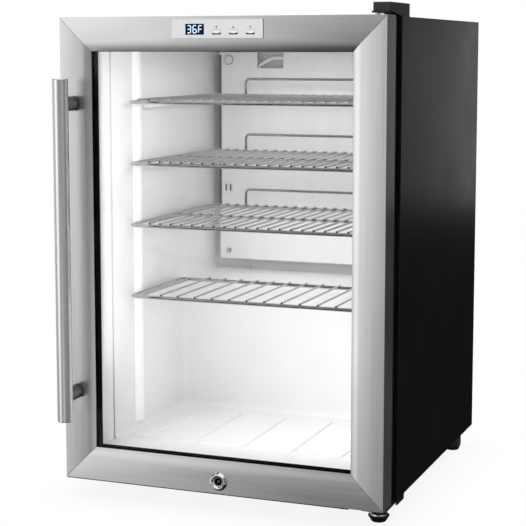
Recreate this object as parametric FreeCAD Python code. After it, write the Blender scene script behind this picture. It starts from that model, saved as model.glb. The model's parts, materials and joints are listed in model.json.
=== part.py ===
"""Compact undercounter refrigerator with a glass door, modelled piece by piece in millimetres.

Axes: +X to the right, +Y to the back (the door faces -Y), +Z up.
Origin: on the floor, under the middle of the whole envelope.
Positions front to back are given as a depth behind the door's front face.
"""
import FreeCAD
import Part
import math
import os

V = FreeCAD.Vector

# ---- driving dimensions ----
WIDTH = 432.0              # door and cabinet
BODY_DEPTH = 467.0         # door face to the rear edge of the side panels
HANDLE_DIAMETER = 20.0
HANDLE_AXIS = 36.0         # bar axis in front of the door face
HANDLE_INSET = 19.5        # bar axis from the door's left edge
HANDLE_ENDS = (84.0, 520.0)       # bar ends above the door's bottom edge
POST_HEIGHTS = (116.8, 488.6)     # post axes above the door's bottom edge
POST_TURNING = ((19.0, 4.0), (15.5, 7.0), (18.4, 25.0))  # diameter and length, from the door out
FLOOR_GAP = 25.0           # floor to the underside of the cabinet
CABINET_TOP = 623.0
DOOR_BOTTOM = 27.0
DOOR_TOP = 624.0

# door, as depths behind its face and insets from its outer edge
DOOR_STEEL_DEPTH = 35.5    # turned-back edge of the stainless rails
DOOR_CORE_DEPTH = 50.0
GASKET_DEPTH = 62.0
CABINET_FRONT = 63.0
RAIL_FLAT = 32.0
RAIL_EDGE = 42.7           # inner edge of the bevel
BEVEL_DROP = 4.0
RAIL_SHEET = 1.2
GLASS_INSET = 35.0
GLASS_THICK = 4.0
GLASS_FRONT = 5.3
GLASS_REAR = 19.6
CORE_SLOPE = ((42.0, 23.7), (28.5, 49.0))   # inner slope of the core, from the glass to its back

# cabinet
PANEL_SHEET = 0.8
FRONT_FLANGE = 13.0
REAR_FLANGE = 10.0
BACK_PANEL_DEPTH = 455.0
LINER_SHEET = 2.0
CAVITY_HALF = 176.0
CAVITY_FLOOR = 63.0
CAVITY_TOP = 585.0
CAVITY_REAR = 423.0
CAVITY_RADIUS = 9.0
STEP_TOP = 252.0
STEP_FRONT = 287.0
MACHINE_FRONT = 320.0
MACHINE_TOP = 217.0
TROUGH = (-122.0, 122.0, 404.0, 6.0)   # left, right, front depth, drop below the step
PAN_SHEET = 1.0

# shelves: height of the frame rod's axis, in order from the top
SHELF_LEVELS = (514.5, 432.5, 350.5)
HALF_SHELF_LEVEL = 254.5
SHELF_HALF = 167.5
SHELF_FRONT = 97.5
SHELF_REAR = 370.0
HALF_SHELF_REAR = 262.0
SHELF_ROD = 5.0
SHELF_WIRE = 2.8
SHELF_CROSS_BAR = 233.0    # depth of the bar under the middle
WIRE_SPACING = 15.4
HALF_WIRE_SPACING = 24.6
SIDE_ROD_INSET = 13.0
LEDGE_REACH = 10.0

# hinge side
HINGE_X = 197.0
HINGE_DEPTH = 24.0
PIN_DIAMETER = 6.0
PIN_ROOM = 10.0            # hole in the door's skin around a pin
PIN_POCKET = 30.0
PIN_REACH = (11.0, 14.0)   # lower and upper pin inside the door
BUSH_DIAMETER = 12.0
BUSH_LENGTH = 16.0
UPPER_PLATE = (626.5, 629.0)
HINGE_PLATE_SPAN = (192.5, 214.0)
LOWER_PLATE_THICK = 3.0
BOSS_BOTTOM = 14.0
BOSS_DIAMETER = 15.0
COVER_TOP = 639.0
COVER_SPAN = (195.0, 215.6)
COVER_DEPTHS = (11.4, 96.0)
COVER_WALL = 1.6
SCREW_HEAD = 9.0
SCREW_SHANK = 4.8
UPPER_SCREW_X = 203.0
UPPER_SCREW_DEPTHS = (78.0, 88.0)
LOWER_SCREW_X = 198.0
LOWER_SCREW_DEPTHS = (78.0, 94.0)

# feet
STUD_DIAMETER = 8.0
FOOT_BASE = 8.6
REAR_FOOT_DIAMETER = 25.0
REAR_FOOT_PAD = 8.0
FRONT_FEET = {"left": (-200.0, 110.0, 40.0), "right": (196.0, 50.0, 25.5)}   # x, depth, stud top
REAR_FOOT_X = 199.5
REAR_FOOT_DEPTH = 412.0

# lock and controls
LOCK_X = 0.5
LOCK_Z = 43.0
LOCK_BARREL = 18.8
LOCK_BEZEL = (11.8, 9.9, 4.6)      # radius at the door face, radius at the front, height
PLUG_DIAMETER = 11.0
PLUG_PROUD = 4.2
CAM_DEPTHS = (51.0, 53.5)
CAM_REACH = 22.0
CAM_WIDTH = 9.0
CONTROL = (-59.0, 61.0, 597.2, 620.0)     # left, right, bottom, top
CONTROL_LIP = (3.0, 1.8)                  # bezel over the edge of its opening
BEZEL_PROUD = 1.6
DISPLAY = (-40.7, -15.9, 601.4, 614.6)    # left, right, bottom, top
BUTTON_X = (0.6, 22.7, 44.8)
BUTTON_Z = 604.6
BUTTON_SIZE = (10.6, 5.4)
BUTTON_PROUD = 2.6
BUTTON_GAP = 0.35

# evaporator plate and lamp
PLATE_HALF = 164.0
PLATE_DEPTH = 400.0
PLATE_THICK = 1.6
PLATE_BOTTOM = 267.5
PLATE_TOP = 580.0
NOTCH = (-104.0, -62.0, 556.0)   # left, right, bottom
PLATE_CHANNEL = 6.0
SPACER_X = (-150.0, 150.0)
SPACER_Z = (279.6, 568.7)
SENSOR_PLACE = (-150.0, 376.0)
LAMP_DEPTHS = (125.0, 151.0)
LAMP_Z = (75.0, 582.0)
LAMP_PROUD = 5.0

# cooling machine
COMPRESSOR = (60.0, 390.0)
COMPRESSOR_RADIUS = 57.0
COMPRESSOR_FLOOR = 42.0
COMPRESSOR_HEIGHT = 124.0
MOUNT_PLATE = (36.0, 39.0)
MOUNT_REACH = (66.0, 36.0)  # mounting holes from the compressor's axis, across and in depth
GROMMET_NECK = 12.0
DRAIN_X = 60.0
DRAIN_DEPTH = 413.0
DRAIN_DIAMETER = 12.0
DRAIN_PAN_SIZE = (110.0, 90.0, 22.0)
COIL_DEPTH = 461.0
COIL_ROWS = 9
COIL_LOW = 262.0
COIL_PITCH = 38.0
COIL_HALF = 160.0
TUBE_DIAMETER = 4.8
COIL_WIRE = 1.6
WIRE_PITCH = 11.5
WIRES_EACH_SIDE = 12
INLET = (178.0, COIL_DEPTH, 240.0)
OUTLET = (-186.0, COIL_DEPTH, 240.0)
DRIER = (OUTLET[0], 430.0, 62.0)
DRIER_HEIGHT = 90.0
DRIER_DIAMETER = 18.0
GLAND_X = -144.0
GLAND_Z = 38.0
GLAND_BODY = 11.0
GLAND_BORE = 7.0

# allowances
RUNNING_CLEARANCE = 0.05   # between a pin, plug or stud and its bore, on the radius
SHEET_FIT = 0.05           # between sheets and mouldings that lie together
PAST = 1.0                 # how far a cutting shape runs past the face it opens

# worked out from the dimensions above
HALF = WIDTH / 2
HANDLE_PROUD = HANDLE_AXIS + HANDLE_DIAMETER / 2
FACE_Y = HANDLE_PROUD - (BODY_DEPTH + HANDLE_PROUD) / 2
DOOR_HEIGHT = DOOR_TOP - DOOR_BOTTOM
HANDLE_X = HANDLE_INSET - HALF
HANDLE_BOTTOM = DOOR_BOTTOM + HANDLE_ENDS[0]
HANDLE_LENGTH = HANDLE_ENDS[1] - HANDLE_ENDS[0]
BUSH_ENDS = (DOOR_BOTTOM + RAIL_SHEET, DOOR_TOP - RAIL_SHEET - BUSH_LENGTH)
LOWER_PLATE_BOTTOM = FLOOR_GAP - LOWER_PLATE_THICK
PAN_FLOOR = FLOOR_GAP + PAN_SHEET
SPACER_PLACES = [(x, z) for x in SPACER_X for z in SPACER_Z]
GROMMET_PLACES = [
    (COMPRESSOR[0] + across * MOUNT_REACH[0], COMPRESSOR[1] + back * MOUNT_REACH[1])
    for across in (-1, 1) for back in (-1, 1)
]


# ---- building helpers: x, depth behind the door face, z ----
def at(x, depth, z):
    return V(x, FACE_Y + depth, z)


def box(x0, x1, d0, d1, z0, z1):
    return Part.makeBox(x1 - x0, d1 - d0, z1 - z0, at(x0, d0, z0))


def rod_along(axis, x, depth, z, diameter, length):
    """A cylinder that starts at the point and runs along +X, +Y or +Z (or against it, if length < 0)."""
    way = {"x": V(1, 0, 0), "y": V(0, 1, 0), "z": V(0, 0, 1)}[axis]
    if length < 0:
        way = way * -1
    return Part.makeCylinder(diameter / 2, abs(length), at(x, depth, z), way)


def cone_up(x, depth, z, lower_diameter, upper_diameter, height):
    return Part.makeCone(lower_diameter / 2, upper_diameter / 2, height, at(x, depth, z), V(0, 0, 1))


def side_profile(points, x0, x1):
    """A (depth, z) outline run across from x0 to x1."""
    corners = [at(x0, depth, z) for depth, z in points]
    return Part.Face(Part.makePolygon(corners + corners[:1])).extrude(V(x1 - x0, 0, 0))


def fuse(shapes):
    return shapes[0].multiFuse(list(shapes[1:])).removeSplitter() if len(shapes) > 1 else shapes[0]


def path_with_bends(points, bend):
    """Straight runs through the points, joined at each inner point by a tangent arc."""
    edges = []
    start = points[0]
    for before, corner, after in zip(points, points[1:], points[2:]):
        back = (before - corner).normalize()
        on = (after - corner).normalize()
        half_angle = back.getAngle(on) / 2
        setback = bend / math.tan(half_angle)
        middle = corner + (back + on).normalize() * (bend / math.sin(half_angle) - bend)
        edges.append(Part.LineSegment(start, corner + back * setback).toShape())
        edges.append(Part.Arc(corner + back * setback, middle, corner + on * setback).toShape())
        start = corner + on * setback
    edges.append(Part.LineSegment(start, points[-1]).toShape())
    return Part.Wire(edges)


def bent_rod(points, diameter, bend):
    """A round rod along (x, depth, z) points with bends of the given radius."""
    route = [at(*point) for point in points]
    section = Part.Wire([Part.Circle(route[0], route[1] - route[0], diameter / 2).toShape()])
    return path_with_bends(route, bend).makePipeShell([section], True, True)


def mirrored(shape):
    return shape.mirror(V(0, 0, 0), V(1, 0, 0))


def edges_along(shape, axis):
    """The straight edges of a shape that run along X (0), Y (1) or Z (2)."""
    found = []
    for edge in shape.Edges:
        if len(edge.Vertexes) == 2:
            run = edge.Vertexes[1].Point - edge.Vertexes[0].Point
            if abs(abs(run[axis]) - run.Length) < 1e-6:
                found.append(edge)
    return found


# ---- door frame ----
def mitred_side(section, length):
    """A (inset, depth) section run along X, mitred at 45 degrees at both ends, inset towards +Z."""
    reach = max(inset for inset, _ in section)
    corners = [V(-length / 2, FACE_Y + depth, inset) for inset, depth in section]
    bar = Part.Face(Part.makePolygon(corners + corners[:1])).extrude(V(length, 0, 0))
    half = length / 2
    outline = [V(-half, 0, 0), V(half, 0, 0), V(half - reach, 0, reach), V(-half + reach, 0, reach)]
    keep = Part.Face(Part.makePolygon(outline + outline[:1])).extrude(V(0, GASKET_DEPTH + 20, 0))
    keep.translate(V(0, FACE_Y - 10, 0))
    return bar.common(keep)


def door_sides(section):
    """The same section on all four sides of the door."""
    middle = (DOOR_BOTTOM + DOOR_TOP) / 2
    places = {
        "bottom": (WIDTH, 0, V(0, 0, DOOR_BOTTOM)),
        "top": (WIDTH, 180, V(0, 0, DOOR_TOP)),
        "left": (DOOR_HEIGHT, 90, V(-HALF, 0, middle)),
        "right": (DOOR_HEIGHT, -90, V(HALF, 0, middle)),
    }
    sides = {}
    for name, (length, turn, move) in places.items():
        side = mitred_side(section, length)
        side.rotate(V(0, 0, 0), V(0, 1, 0), turn)
        side.translate(move)
        sides[name] = side
    return sides


def control_opening(depth):
    x0, x1, z0, z1 = CONTROL
    side, edge = CONTROL_LIP
    return box(x0 + side, x1 - side, -PAST, depth, z0 + edge, z1 - edge)


def lock_bore(length):
    return rod_along("y", LOCK_X, -PAST, LOCK_Z, LOCK_BARREL, length)


def hinge_bore(diameter):
    return rod_along("z", HINGE_X, HINGE_DEPTH, DOOR_BOTTOM - PAST, diameter, DOOR_HEIGHT + 2 * PAST)


def bush_bores():
    return [rod_along("z", HINGE_X, HINGE_DEPTH, z, BUSH_DIAMETER, BUSH_LENGTH) for z in BUSH_ENDS]


def door_rails():
    """Four stainless profiles: flat face, bevel down to the glass and a turned-back outer edge."""
    inner_end = 0.4
    inner_bend = 0.25
    section = [
        (0, DOOR_STEEL_DEPTH), (0, 0), (RAIL_FLAT, 0), (RAIL_EDGE, BEVEL_DROP),
        (RAIL_EDGE - inner_end, BEVEL_DROP + RAIL_SHEET), (RAIL_FLAT - inner_bend, RAIL_SHEET),
        (RAIL_SHEET, RAIL_SHEET), (RAIL_SHEET, DOOR_STEEL_DEPTH),
    ]
    sides = door_sides(section)
    pin_room = hinge_bore(PIN_ROOM)
    sides["top"] = sides["top"].cut(control_opening(8)).cut(pin_room)
    sides["bottom"] = sides["bottom"].cut(lock_bore(5)).cut(pin_room)
    return {
        "door_rail_top": sides["top"],
        "door_rail_bottom": sides["bottom"],
        "door_stile_left": sides["left"],
        "door_stile_right": sides["right"],
    }


def door_core():
    """Black plastic frame inside the rails: it holds the glazing unit and carries the gasket."""
    inset = RAIL_SHEET + SHEET_FIT
    bevel_back = BEVEL_DROP + RAIL_SHEET + SHEET_FIT
    pocket_edge = GLASS_INSET - 0.1
    pocket_back = CORE_SLOPE[0][1]
    outer_edge = 3.0
    section = [
        (inset, inset), (RAIL_FLAT - 1.5, inset), (RAIL_FLAT - 1.5, bevel_back),
        (pocket_edge, bevel_back), (pocket_edge, pocket_back),
        *CORE_SLOPE, (27.0, DOOR_CORE_DEPTH), (outer_edge, DOOR_CORE_DEPTH), (outer_edge, DOOR_STEEL_DEPTH),
        (inset, DOOR_STEEL_DEPTH),
    ]
    core = fuse(list(door_sides(section).values()))
    pockets = [control_opening(18), lock_bore(DOOR_CORE_DEPTH + 5)]
    pockets += bush_bores()
    pockets += [rod_along("z", HINGE_X, HINGE_DEPTH, z, PIN_ROOM, PIN_POCKET)
                for z in (DOOR_BOTTOM, DOOR_TOP - PIN_POCKET)]
    for pocket in pockets:
        core = core.cut(pocket)
    return core


def door_inner_trim():
    """White moulded channel over the core's slope, between the glass and the gasket."""
    tip, outer_wall, sheet, back, bevel, lean = 42.0, 31.0, 1.6, 57.5, 1.5, 0.8
    (first_inset, first_depth), (last_inset, last_depth) = CORE_SLOPE
    steepness = (last_depth - first_depth) / (first_inset - last_inset)

    def on_core(inset):
        return inset, first_depth + (first_inset - inset) * steepness + 2 * SHEET_FIT

    section = [
        on_core(tip), (tip - lean, back - bevel), (tip - lean - bevel, back), (outer_wall + bevel, back),
        (outer_wall, back - bevel), on_core(outer_wall), on_core(outer_wall + sheet),
        (outer_wall + sheet, back - sheet), (tip - lean - sheet, back - sheet), on_core(tip - sheet),
    ]
    return fuse(list(door_sides(section).values()))


def ring(half_width, z0, z1, wall, d0, d1, bottom_wall=None):
    outer = box(-half_width, half_width, d0, d1, z0, z1)
    inner = box(-half_width + wall, half_width - wall, d0 - 1, d1 + 1, z0 + (bottom_wall or wall), z1 - wall)
    return outer.cut(inner)


def glazing():
    half = HALF - GLASS_INSET
    z0, z1 = DOOR_BOTTOM + GLASS_INSET, DOOR_TOP - GLASS_INSET
    spacer_wall = RAIL_EDGE - GLASS_INSET + 0.5
    return {
        "glass_front": box(-half, half, GLASS_FRONT, GLASS_FRONT + GLASS_THICK, z0, z1),
        "glass_rear": box(-half, half, GLASS_REAR, GLASS_REAR + GLASS_THICK, z0, z1),
        "glass_spacer": ring(half, z0, z1, spacer_wall, GLASS_FRONT + GLASS_THICK, GLASS_REAR),
    }


def door_gasket():
    """Magnetic bellows gasket: a broad base, a narrow fold and a magnet lip. It rises over the lock."""
    side_inset, bottom_inset, wall = 13.0, 22.5, 9.0
    layers = (
        (DOOR_CORE_DEPTH, 53.0, 0.0),
        (53.0, 57.5, 1.8),
        (57.5, GASKET_DEPTH, 0.0),
    )
    rings = [
        ring(HALF - side_inset - pinch, DOOR_BOTTOM + bottom_inset + pinch * 0.8,
             DOOR_TOP - side_inset - pinch, wall - 2 * pinch, d0, d1, 8.0 - 1.6 * pinch)
        for d0, d1, pinch in layers
    ]
    return fuse(rings)


# ---- handle ----
def handle_bar():
    bar = rod_along("z", HANDLE_X, -HANDLE_AXIS, HANDLE_BOTTOM, HANDLE_DIAMETER, HANDLE_LENGTH)
    return bar.makeChamfer(0.8, [edge for edge in bar.Edges if edge.Closed])


def handle_posts():
    """Two turned posts, each hollowed at its outer end to seat on the bar."""
    posts = []
    bar = rod_along("z", HANDLE_X, -HANDLE_AXIS, HANDLE_BOTTOM, HANDLE_DIAMETER, HANDLE_LENGTH)
    for height in POST_HEIGHTS:
        front = 0.0
        turnings = []
        for diameter, length in POST_TURNING:
            turnings.append(rod_along("y", HANDLE_X, front, DOOR_BOTTOM + height, diameter, -length))
            front -= length
        posts.append(fuse(turnings).cut(bar))
    return Part.makeCompound(posts)


# ---- controls ----
def buttons():
    wide, high = BUTTON_SIZE
    made = {}
    for number, x in enumerate(BUTTON_X, 1):
        cap = box(x - wide / 2, x + wide / 2, -BUTTON_PROUD, 2.0, BUTTON_Z - high / 2, BUTTON_Z + high / 2)
        cap = cap.makeFillet(1.2, edges_along(cap, 1))
        half_wide, half_high = wide / 2 + 1, high / 2 + 1
        flange = box(x - half_wide, x + half_wide, 1.6, 3.0, BUTTON_Z - half_high, BUTTON_Z + half_high)
        plunger = rod_along("y", x, 3.0, BUTTON_Z, 3.0, 1.0)
        made[f"button_{number}"] = fuse([cap, flange, plunger])
    return made


def control_bezel():
    x0, x1, z0, z1 = CONTROL
    plate = box(x0, x1, -BEZEL_PROUD, 0, z0, z1)
    plate = plate.makeFillet(1.5, edges_along(plate, 1))
    skirt = box(x0 + 3.2, x1 - 3.2, -0.5, 6, z0 + 2, z1 - 2)
    skirt = skirt.cut(box(x0 + 5, x1 - 5, 0, 7, z0 + 3.4, z1 - 3.4))
    bezel = fuse([plate, skirt])
    dx0, dx1, dz0, dz1 = DISPLAY
    bezel = bezel.cut(box(dx0, dx1, -2, 1, dz0, dz1))
    wide, high = BUTTON_SIZE
    for x in BUTTON_X:
        bezel = bezel.cut(box(x - wide / 2 - BUTTON_GAP, x + wide / 2 + BUTTON_GAP, -2, 1,
                              BUTTON_Z - high / 2 - BUTTON_GAP, BUTTON_Z + high / 2 + BUTTON_GAP))
    return bezel


def display_window():
    x0, x1, z0, z1 = DISPLAY
    return box(x0, x1, -BEZEL_PROUD - 0.1, 0, z0, z1)


def control_board():
    x0, x1, z0, z1 = CONTROL
    dx0, dx1, dz0, dz1 = DISPLAY
    board = box(x0 + 5.2, x1 - 5.2, 9, 10.6, z0 + 3.6, z1 - 3.6)
    pieces = [board, box(dx0, dx1, 1.0, 9, dz0, dz1)]
    for x in BUTTON_X:
        pieces.append(box(x - 3, x + 3, 6.2, 9, BUTTON_Z - 3, BUTTON_Z + 3))
        pieces.append(rod_along("y", x, 5.2, BUTTON_Z, 3.0, 1.0))
    pieces.append(box(30, 50, 10.6, 16, z0 + 6, z1 - 6))
    return fuse(pieces)


# ---- lock ----
def lock():
    """Cam lock: at rest the cam lies level, and a quarter turn drops its tip into the strike's slot."""
    slot_half, slot_reach, slot_deep = 0.9, 3.6, 4.0
    tail_diameter, tail_length, hub_diameter = 7.0, 5.0, 13.0
    bezel = Part.makeCone(*LOCK_BEZEL, at(LOCK_X, 0, LOCK_Z), V(0, -1, 0))
    barrel = rod_along("y", LOCK_X, 0, LOCK_Z, LOCK_BARREL, DOOR_CORE_DEPTH - 0.5)
    bore = rod_along("y", LOCK_X, -6, LOCK_Z, PLUG_DIAMETER + 2 * RUNNING_CLEARANCE, 60)
    plug = rod_along("y", LOCK_X, -PLUG_PROUD, LOCK_Z, PLUG_DIAMETER, DOOR_CORE_DEPTH + PLUG_PROUD)
    plug = plug.cut(box(LOCK_X - slot_half, LOCK_X + slot_half, -PLUG_PROUD - PAST, slot_deep,
                        LOCK_Z - slot_reach, LOCK_Z + slot_reach))
    tail = rod_along("y", LOCK_X, DOOR_CORE_DEPTH, LOCK_Z, tail_diameter, tail_length)
    arm = box(LOCK_X - CAM_REACH, LOCK_X, *CAM_DEPTHS, LOCK_Z - CAM_WIDTH / 2, LOCK_Z + CAM_WIDTH / 2)
    hub = rod_along("y", LOCK_X, CAM_DEPTHS[0], LOCK_Z, hub_diameter, CAM_DEPTHS[1] - CAM_DEPTHS[0])
    cam = fuse([arm, hub]).cut(tail)
    return {
        "lock_body": fuse([bezel, barrel]).cut(bore),
        "lock_plug": fuse([plug, tail]),
        "lock_cam": cam,
    }


def lock_strike():
    plate = box(-24, 24, 44, 84, 22.4, FLOOR_GAP - 0.05)
    slot = box(LOCK_X - 15, LOCK_X + 9, 49.4, 55.2, 20, 30)
    return plate.cut(slot)


# ---- hinges ----
def hinge_bushes():
    bushes = []
    inside = PIN_DIAMETER + 2 * RUNNING_CLEARANCE
    for z, bush in zip(BUSH_ENDS, bush_bores()):
        bore = rod_along("z", HINGE_X, HINGE_DEPTH, z - PAST, inside, BUSH_LENGTH + 2 * PAST)
        bushes.append(bush.cut(bore))
    return Part.makeCompound(bushes)


def upper_hinge_plate():
    """Stepped plate: screwed to the cabinet top behind, standing clear of the door in front."""
    low, high = UPPER_PLATE
    thick = high - low
    outline = [
        (92, CABINET_TOP), (92, CABINET_TOP + thick), (72, CABINET_TOP + thick), (66, high),
        (14, high), (14, low), (64.5, low), (70.5, CABINET_TOP),
    ]
    plate = side_profile(outline, *HINGE_PLATE_SPAN)
    for depth in UPPER_SCREW_DEPTHS:
        plate = plate.cut(rod_along("z", UPPER_SCREW_X, depth, CABINET_TOP - PAST, SCREW_SHANK, 6))
    return plate.cut(hinge_pin_at(low - 1, 5))


def hinge_pin_at(z, length):
    return rod_along("z", HINGE_X, HINGE_DEPTH, z, PIN_DIAMETER, length)


def hinge_pins():
    """Upper pin hanging from its plate, and lower pin with a collar that carries the door."""
    lower_reach, upper_reach = PIN_REACH
    upper = hinge_pin_at(DOOR_TOP - upper_reach, UPPER_PLATE[1] - DOOR_TOP + upper_reach)
    lower = hinge_pin_at(LOWER_PLATE_BOTTOM, DOOR_BOTTOM + lower_reach - LOWER_PLATE_BOTTOM)
    collar = rod_along("z", HINGE_X, HINGE_DEPTH, FLOOR_GAP, BUSH_DIAMETER, 1.6)
    return Part.makeCompound([upper, fuse([lower, collar])])


def threaded_boss(x, depth, top):
    return rod_along("z", x, depth, BOSS_BOTTOM, BOSS_DIAMETER, top - BOSS_BOTTOM)


def stud_bore(x, depth, top):
    bore = STUD_DIAMETER + 2 * RUNNING_CLEARANCE
    return rod_along("z", x, depth, BOSS_BOTTOM - PAST, bore, top - BOSS_BOTTOM + 2 * PAST)


def lower_hinge_bracket():
    """Plate under the cabinet that carries the lower pin and the right front foot."""
    x, depth, _ = FRONT_FEET["right"]
    plate = box(181, 215, 13, 104, LOWER_PLATE_BOTTOM, FLOOR_GAP - 0.02)
    plate = plate.makeFillet(7.0, edges_along(plate, 2)[:4])
    edge = box(213, 215, 66, 97, 17.0, LOWER_PLATE_BOTTOM + 0.5)
    bracket = fuse([plate, edge, threaded_boss(x, depth, LOWER_PLATE_BOTTOM + 1)])
    bracket = bracket.cut(stud_bore(x, depth, FLOOR_GAP)).cut(hinge_pin_at(20, 6))
    for depth in LOWER_SCREW_DEPTHS:
        bracket = bracket.cut(rod_along("z", LOWER_SCREW_X, depth, 20, SCREW_SHANK, 8))
    return bracket


def hinge_cover():
    """Black plastic cap over the upper hinge plate, open underneath."""
    front, rear = COVER_DEPTHS
    left, right = COVER_SPAN
    top, wall = COVER_TOP, COVER_WALL
    outside = side_profile(
        [(front, UPPER_PLATE[1]), (front, top), (rear, top), (rear, CABINET_TOP), (66, CABINET_TOP)],
        left, right)
    outside = outside.makeFillet(1.5, edges_along(outside, 0)[1:3])
    inside = box(left + wall, right - wall, front + wall, rear - wall, CABINET_TOP - 1, top - wall)
    over_plate = UPPER_PLATE[1] + SHEET_FIT
    over_screws = CABINET_TOP + 2.6
    step = side_profile(
        [(front - PAST, CABINET_TOP - PAST), (front - PAST, over_plate), (66.2, over_plate),
         (72.2, over_screws), (92.2, over_screws), (92.2, CABINET_TOP - PAST)],
        left - PAST, right - wall + 0.01)
    return outside.cut(inside).cut(step)


# ---- feet ----
def front_foot(x, depth, stud_top):
    """Levelling foot: tapered base, bright flange and stud."""
    base = cone_up(x, depth, 0, 18.0, 27.0, FOOT_BASE)
    flange = rod_along("z", x, depth, FOOT_BASE, 22.5, 2.2)
    stud = rod_along("z", x, depth, FOOT_BASE, STUD_DIAMETER, stud_top - FOOT_BASE)
    return fuse([base, flange, stud])


def rear_feet():
    feet = []
    for x in (-REAR_FOOT_X, REAR_FOOT_X):
        pad = cone_up(x, REAR_FOOT_DEPTH, 0, 19.0, REAR_FOOT_DIAMETER, REAR_FOOT_PAD)
        leg = rod_along("z", x, REAR_FOOT_DEPTH, REAR_FOOT_PAD, REAR_FOOT_DIAMETER, FLOOR_GAP - REAR_FOOT_PAD)
        feet.append(fuse([pad, leg]))
    return Part.makeCompound(feet)


# ---- cabinet shell ----
def side_panel():
    """Left panel: one sheet with its front and rear edges turned in."""
    top = CABINET_TOP - PANEL_SHEET
    skin = box(-HALF, -HALF + PANEL_SHEET, CABINET_FRONT, BODY_DEPTH, FLOOR_GAP, top)
    front = box(-HALF, -HALF + FRONT_FLANGE, CABINET_FRONT, CABINET_FRONT + PANEL_SHEET, FLOOR_GAP, top)
    rear = box(-HALF, -HALF + REAR_FLANGE, BODY_DEPTH - PANEL_SHEET, BODY_DEPTH, FLOOR_GAP, top)
    return fuse([skin, front, rear])


def top_panel():
    low = CABINET_TOP - PANEL_SHEET
    skin = box(-HALF, HALF, CABINET_FRONT, BODY_DEPTH, low, CABINET_TOP)
    inner = HALF - FRONT_FLANGE - 0.1
    front = box(-inner, inner, CABINET_FRONT, CABINET_FRONT + PANEL_SHEET, CABINET_TOP - FRONT_FLANGE, low)
    rear = box(-inner, inner, BODY_DEPTH - PANEL_SHEET, BODY_DEPTH, CABINET_TOP - REAR_FLANGE, low)
    panel = fuse([skin, front, rear])
    for depth in UPPER_SCREW_DEPTHS:
        panel = panel.cut(rod_along("z", UPPER_SCREW_X, depth, low - 1, SCREW_SHANK, 3))
    return panel


def base_pan():
    """Floor of the cabinet: front edge turned up, rear edge turned up and slotted behind the compressor."""
    rear_lip = 24.0
    slots_each_side, slot_pitch, slot_half, slot_heights = 7, 24.0, 8.0, (36, 41)
    half = HALF - PANEL_SHEET - SHEET_FIT
    inner = HALF - FRONT_FLANGE - 0.1
    floor = box(-half, half, CABINET_FRONT + PANEL_SHEET + SHEET_FIT, BACK_PANEL_DEPTH, FLOOR_GAP, PAN_FLOOR)
    front = box(-inner, inner, CABINET_FRONT, CABINET_FRONT + PAN_SHEET, FLOOR_GAP, FLOOR_GAP + FRONT_FLANGE)
    rear = box(-half, half, BACK_PANEL_DEPTH - PAN_SHEET, BACK_PANEL_DEPTH, FLOOR_GAP, FLOOR_GAP + rear_lip)
    x, depth, _ = FRONT_FEET["left"]
    pan = fuse([floor, front, rear, threaded_boss(x, depth, FLOOR_GAP + 0.5)])
    pan = pan.cut(stud_bore(x, depth, FLOOR_GAP + 1))
    for place in range(-slots_each_side, slots_each_side + 1):
        middle = place * slot_pitch
        if abs(middle - GLAND_X) > slot_pitch * 0.75:
            pan = pan.cut(box(middle - slot_half, middle + slot_half,
                              BACK_PANEL_DEPTH - 2, BACK_PANEL_DEPTH + PAST, *slot_heights))
    return pan.cut(rod_along("y", GLAND_X, BACK_PANEL_DEPTH - 2, GLAND_Z, GLAND_BODY, 4))


def cord_gland():
    """Strain-relief bush that the supply cord would pass through."""
    flange = rod_along("y", GLAND_X, BACK_PANEL_DEPTH, GLAND_Z, 17.0, 2.5)
    nose = Part.makeCone(6.5, 5.0, 6.0, at(GLAND_X, BACK_PANEL_DEPTH + 2.5, GLAND_Z), V(0, 1, 0))
    body = rod_along("y", GLAND_X, BACK_PANEL_DEPTH - 6, GLAND_Z, GLAND_BODY, 6.0)
    bore = rod_along("y", GLAND_X, BACK_PANEL_DEPTH - 8, GLAND_Z, GLAND_BORE, 20)
    return fuse([flange, nose, body]).cut(bore)


def back_panel():
    half = HALF - PANEL_SHEET - SHEET_FIT
    return box(-half, half, BACK_PANEL_DEPTH, BACK_PANEL_DEPTH + PANEL_SHEET, MACHINE_TOP + SHEET_FIT,
               CABINET_TOP - PANEL_SHEET - SHEET_FIT)


# ---- liner and foam ----
def cavity(grow):
    """The food compartment's space, or the liner's outside when grow is the liner's sheet."""
    mouth = CABINET_FRONT - 6
    outline = [
        (mouth, CAVITY_FLOOR - grow), (STEP_FRONT + grow, CAVITY_FLOOR - grow),
        (STEP_FRONT + grow, STEP_TOP - grow), (CAVITY_REAR + grow, STEP_TOP - grow),
        (CAVITY_REAR + grow, CAVITY_TOP + grow), (mouth, CAVITY_TOP + grow),
    ]
    half = CAVITY_HALF + grow
    space = side_profile(outline, -half, half)
    mouth_y = FACE_Y + mouth
    inner_edges = [
        edge for edge in space.Edges
        if not all(abs(vertex.Y - mouth_y) < 0.01 for vertex in edge.Vertexes)
    ]
    space = space.makeFillet(CAVITY_RADIUS + grow, inner_edges)
    x0, x1, trough_front, trough_drop = TROUGH
    trough = box(x0 - grow, x1 + grow, trough_front - grow, CAVITY_REAR - 0.5 + grow,
                 STEP_TOP - trough_drop - grow, STEP_TOP + 12)
    return space.fuse(trough)


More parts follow.
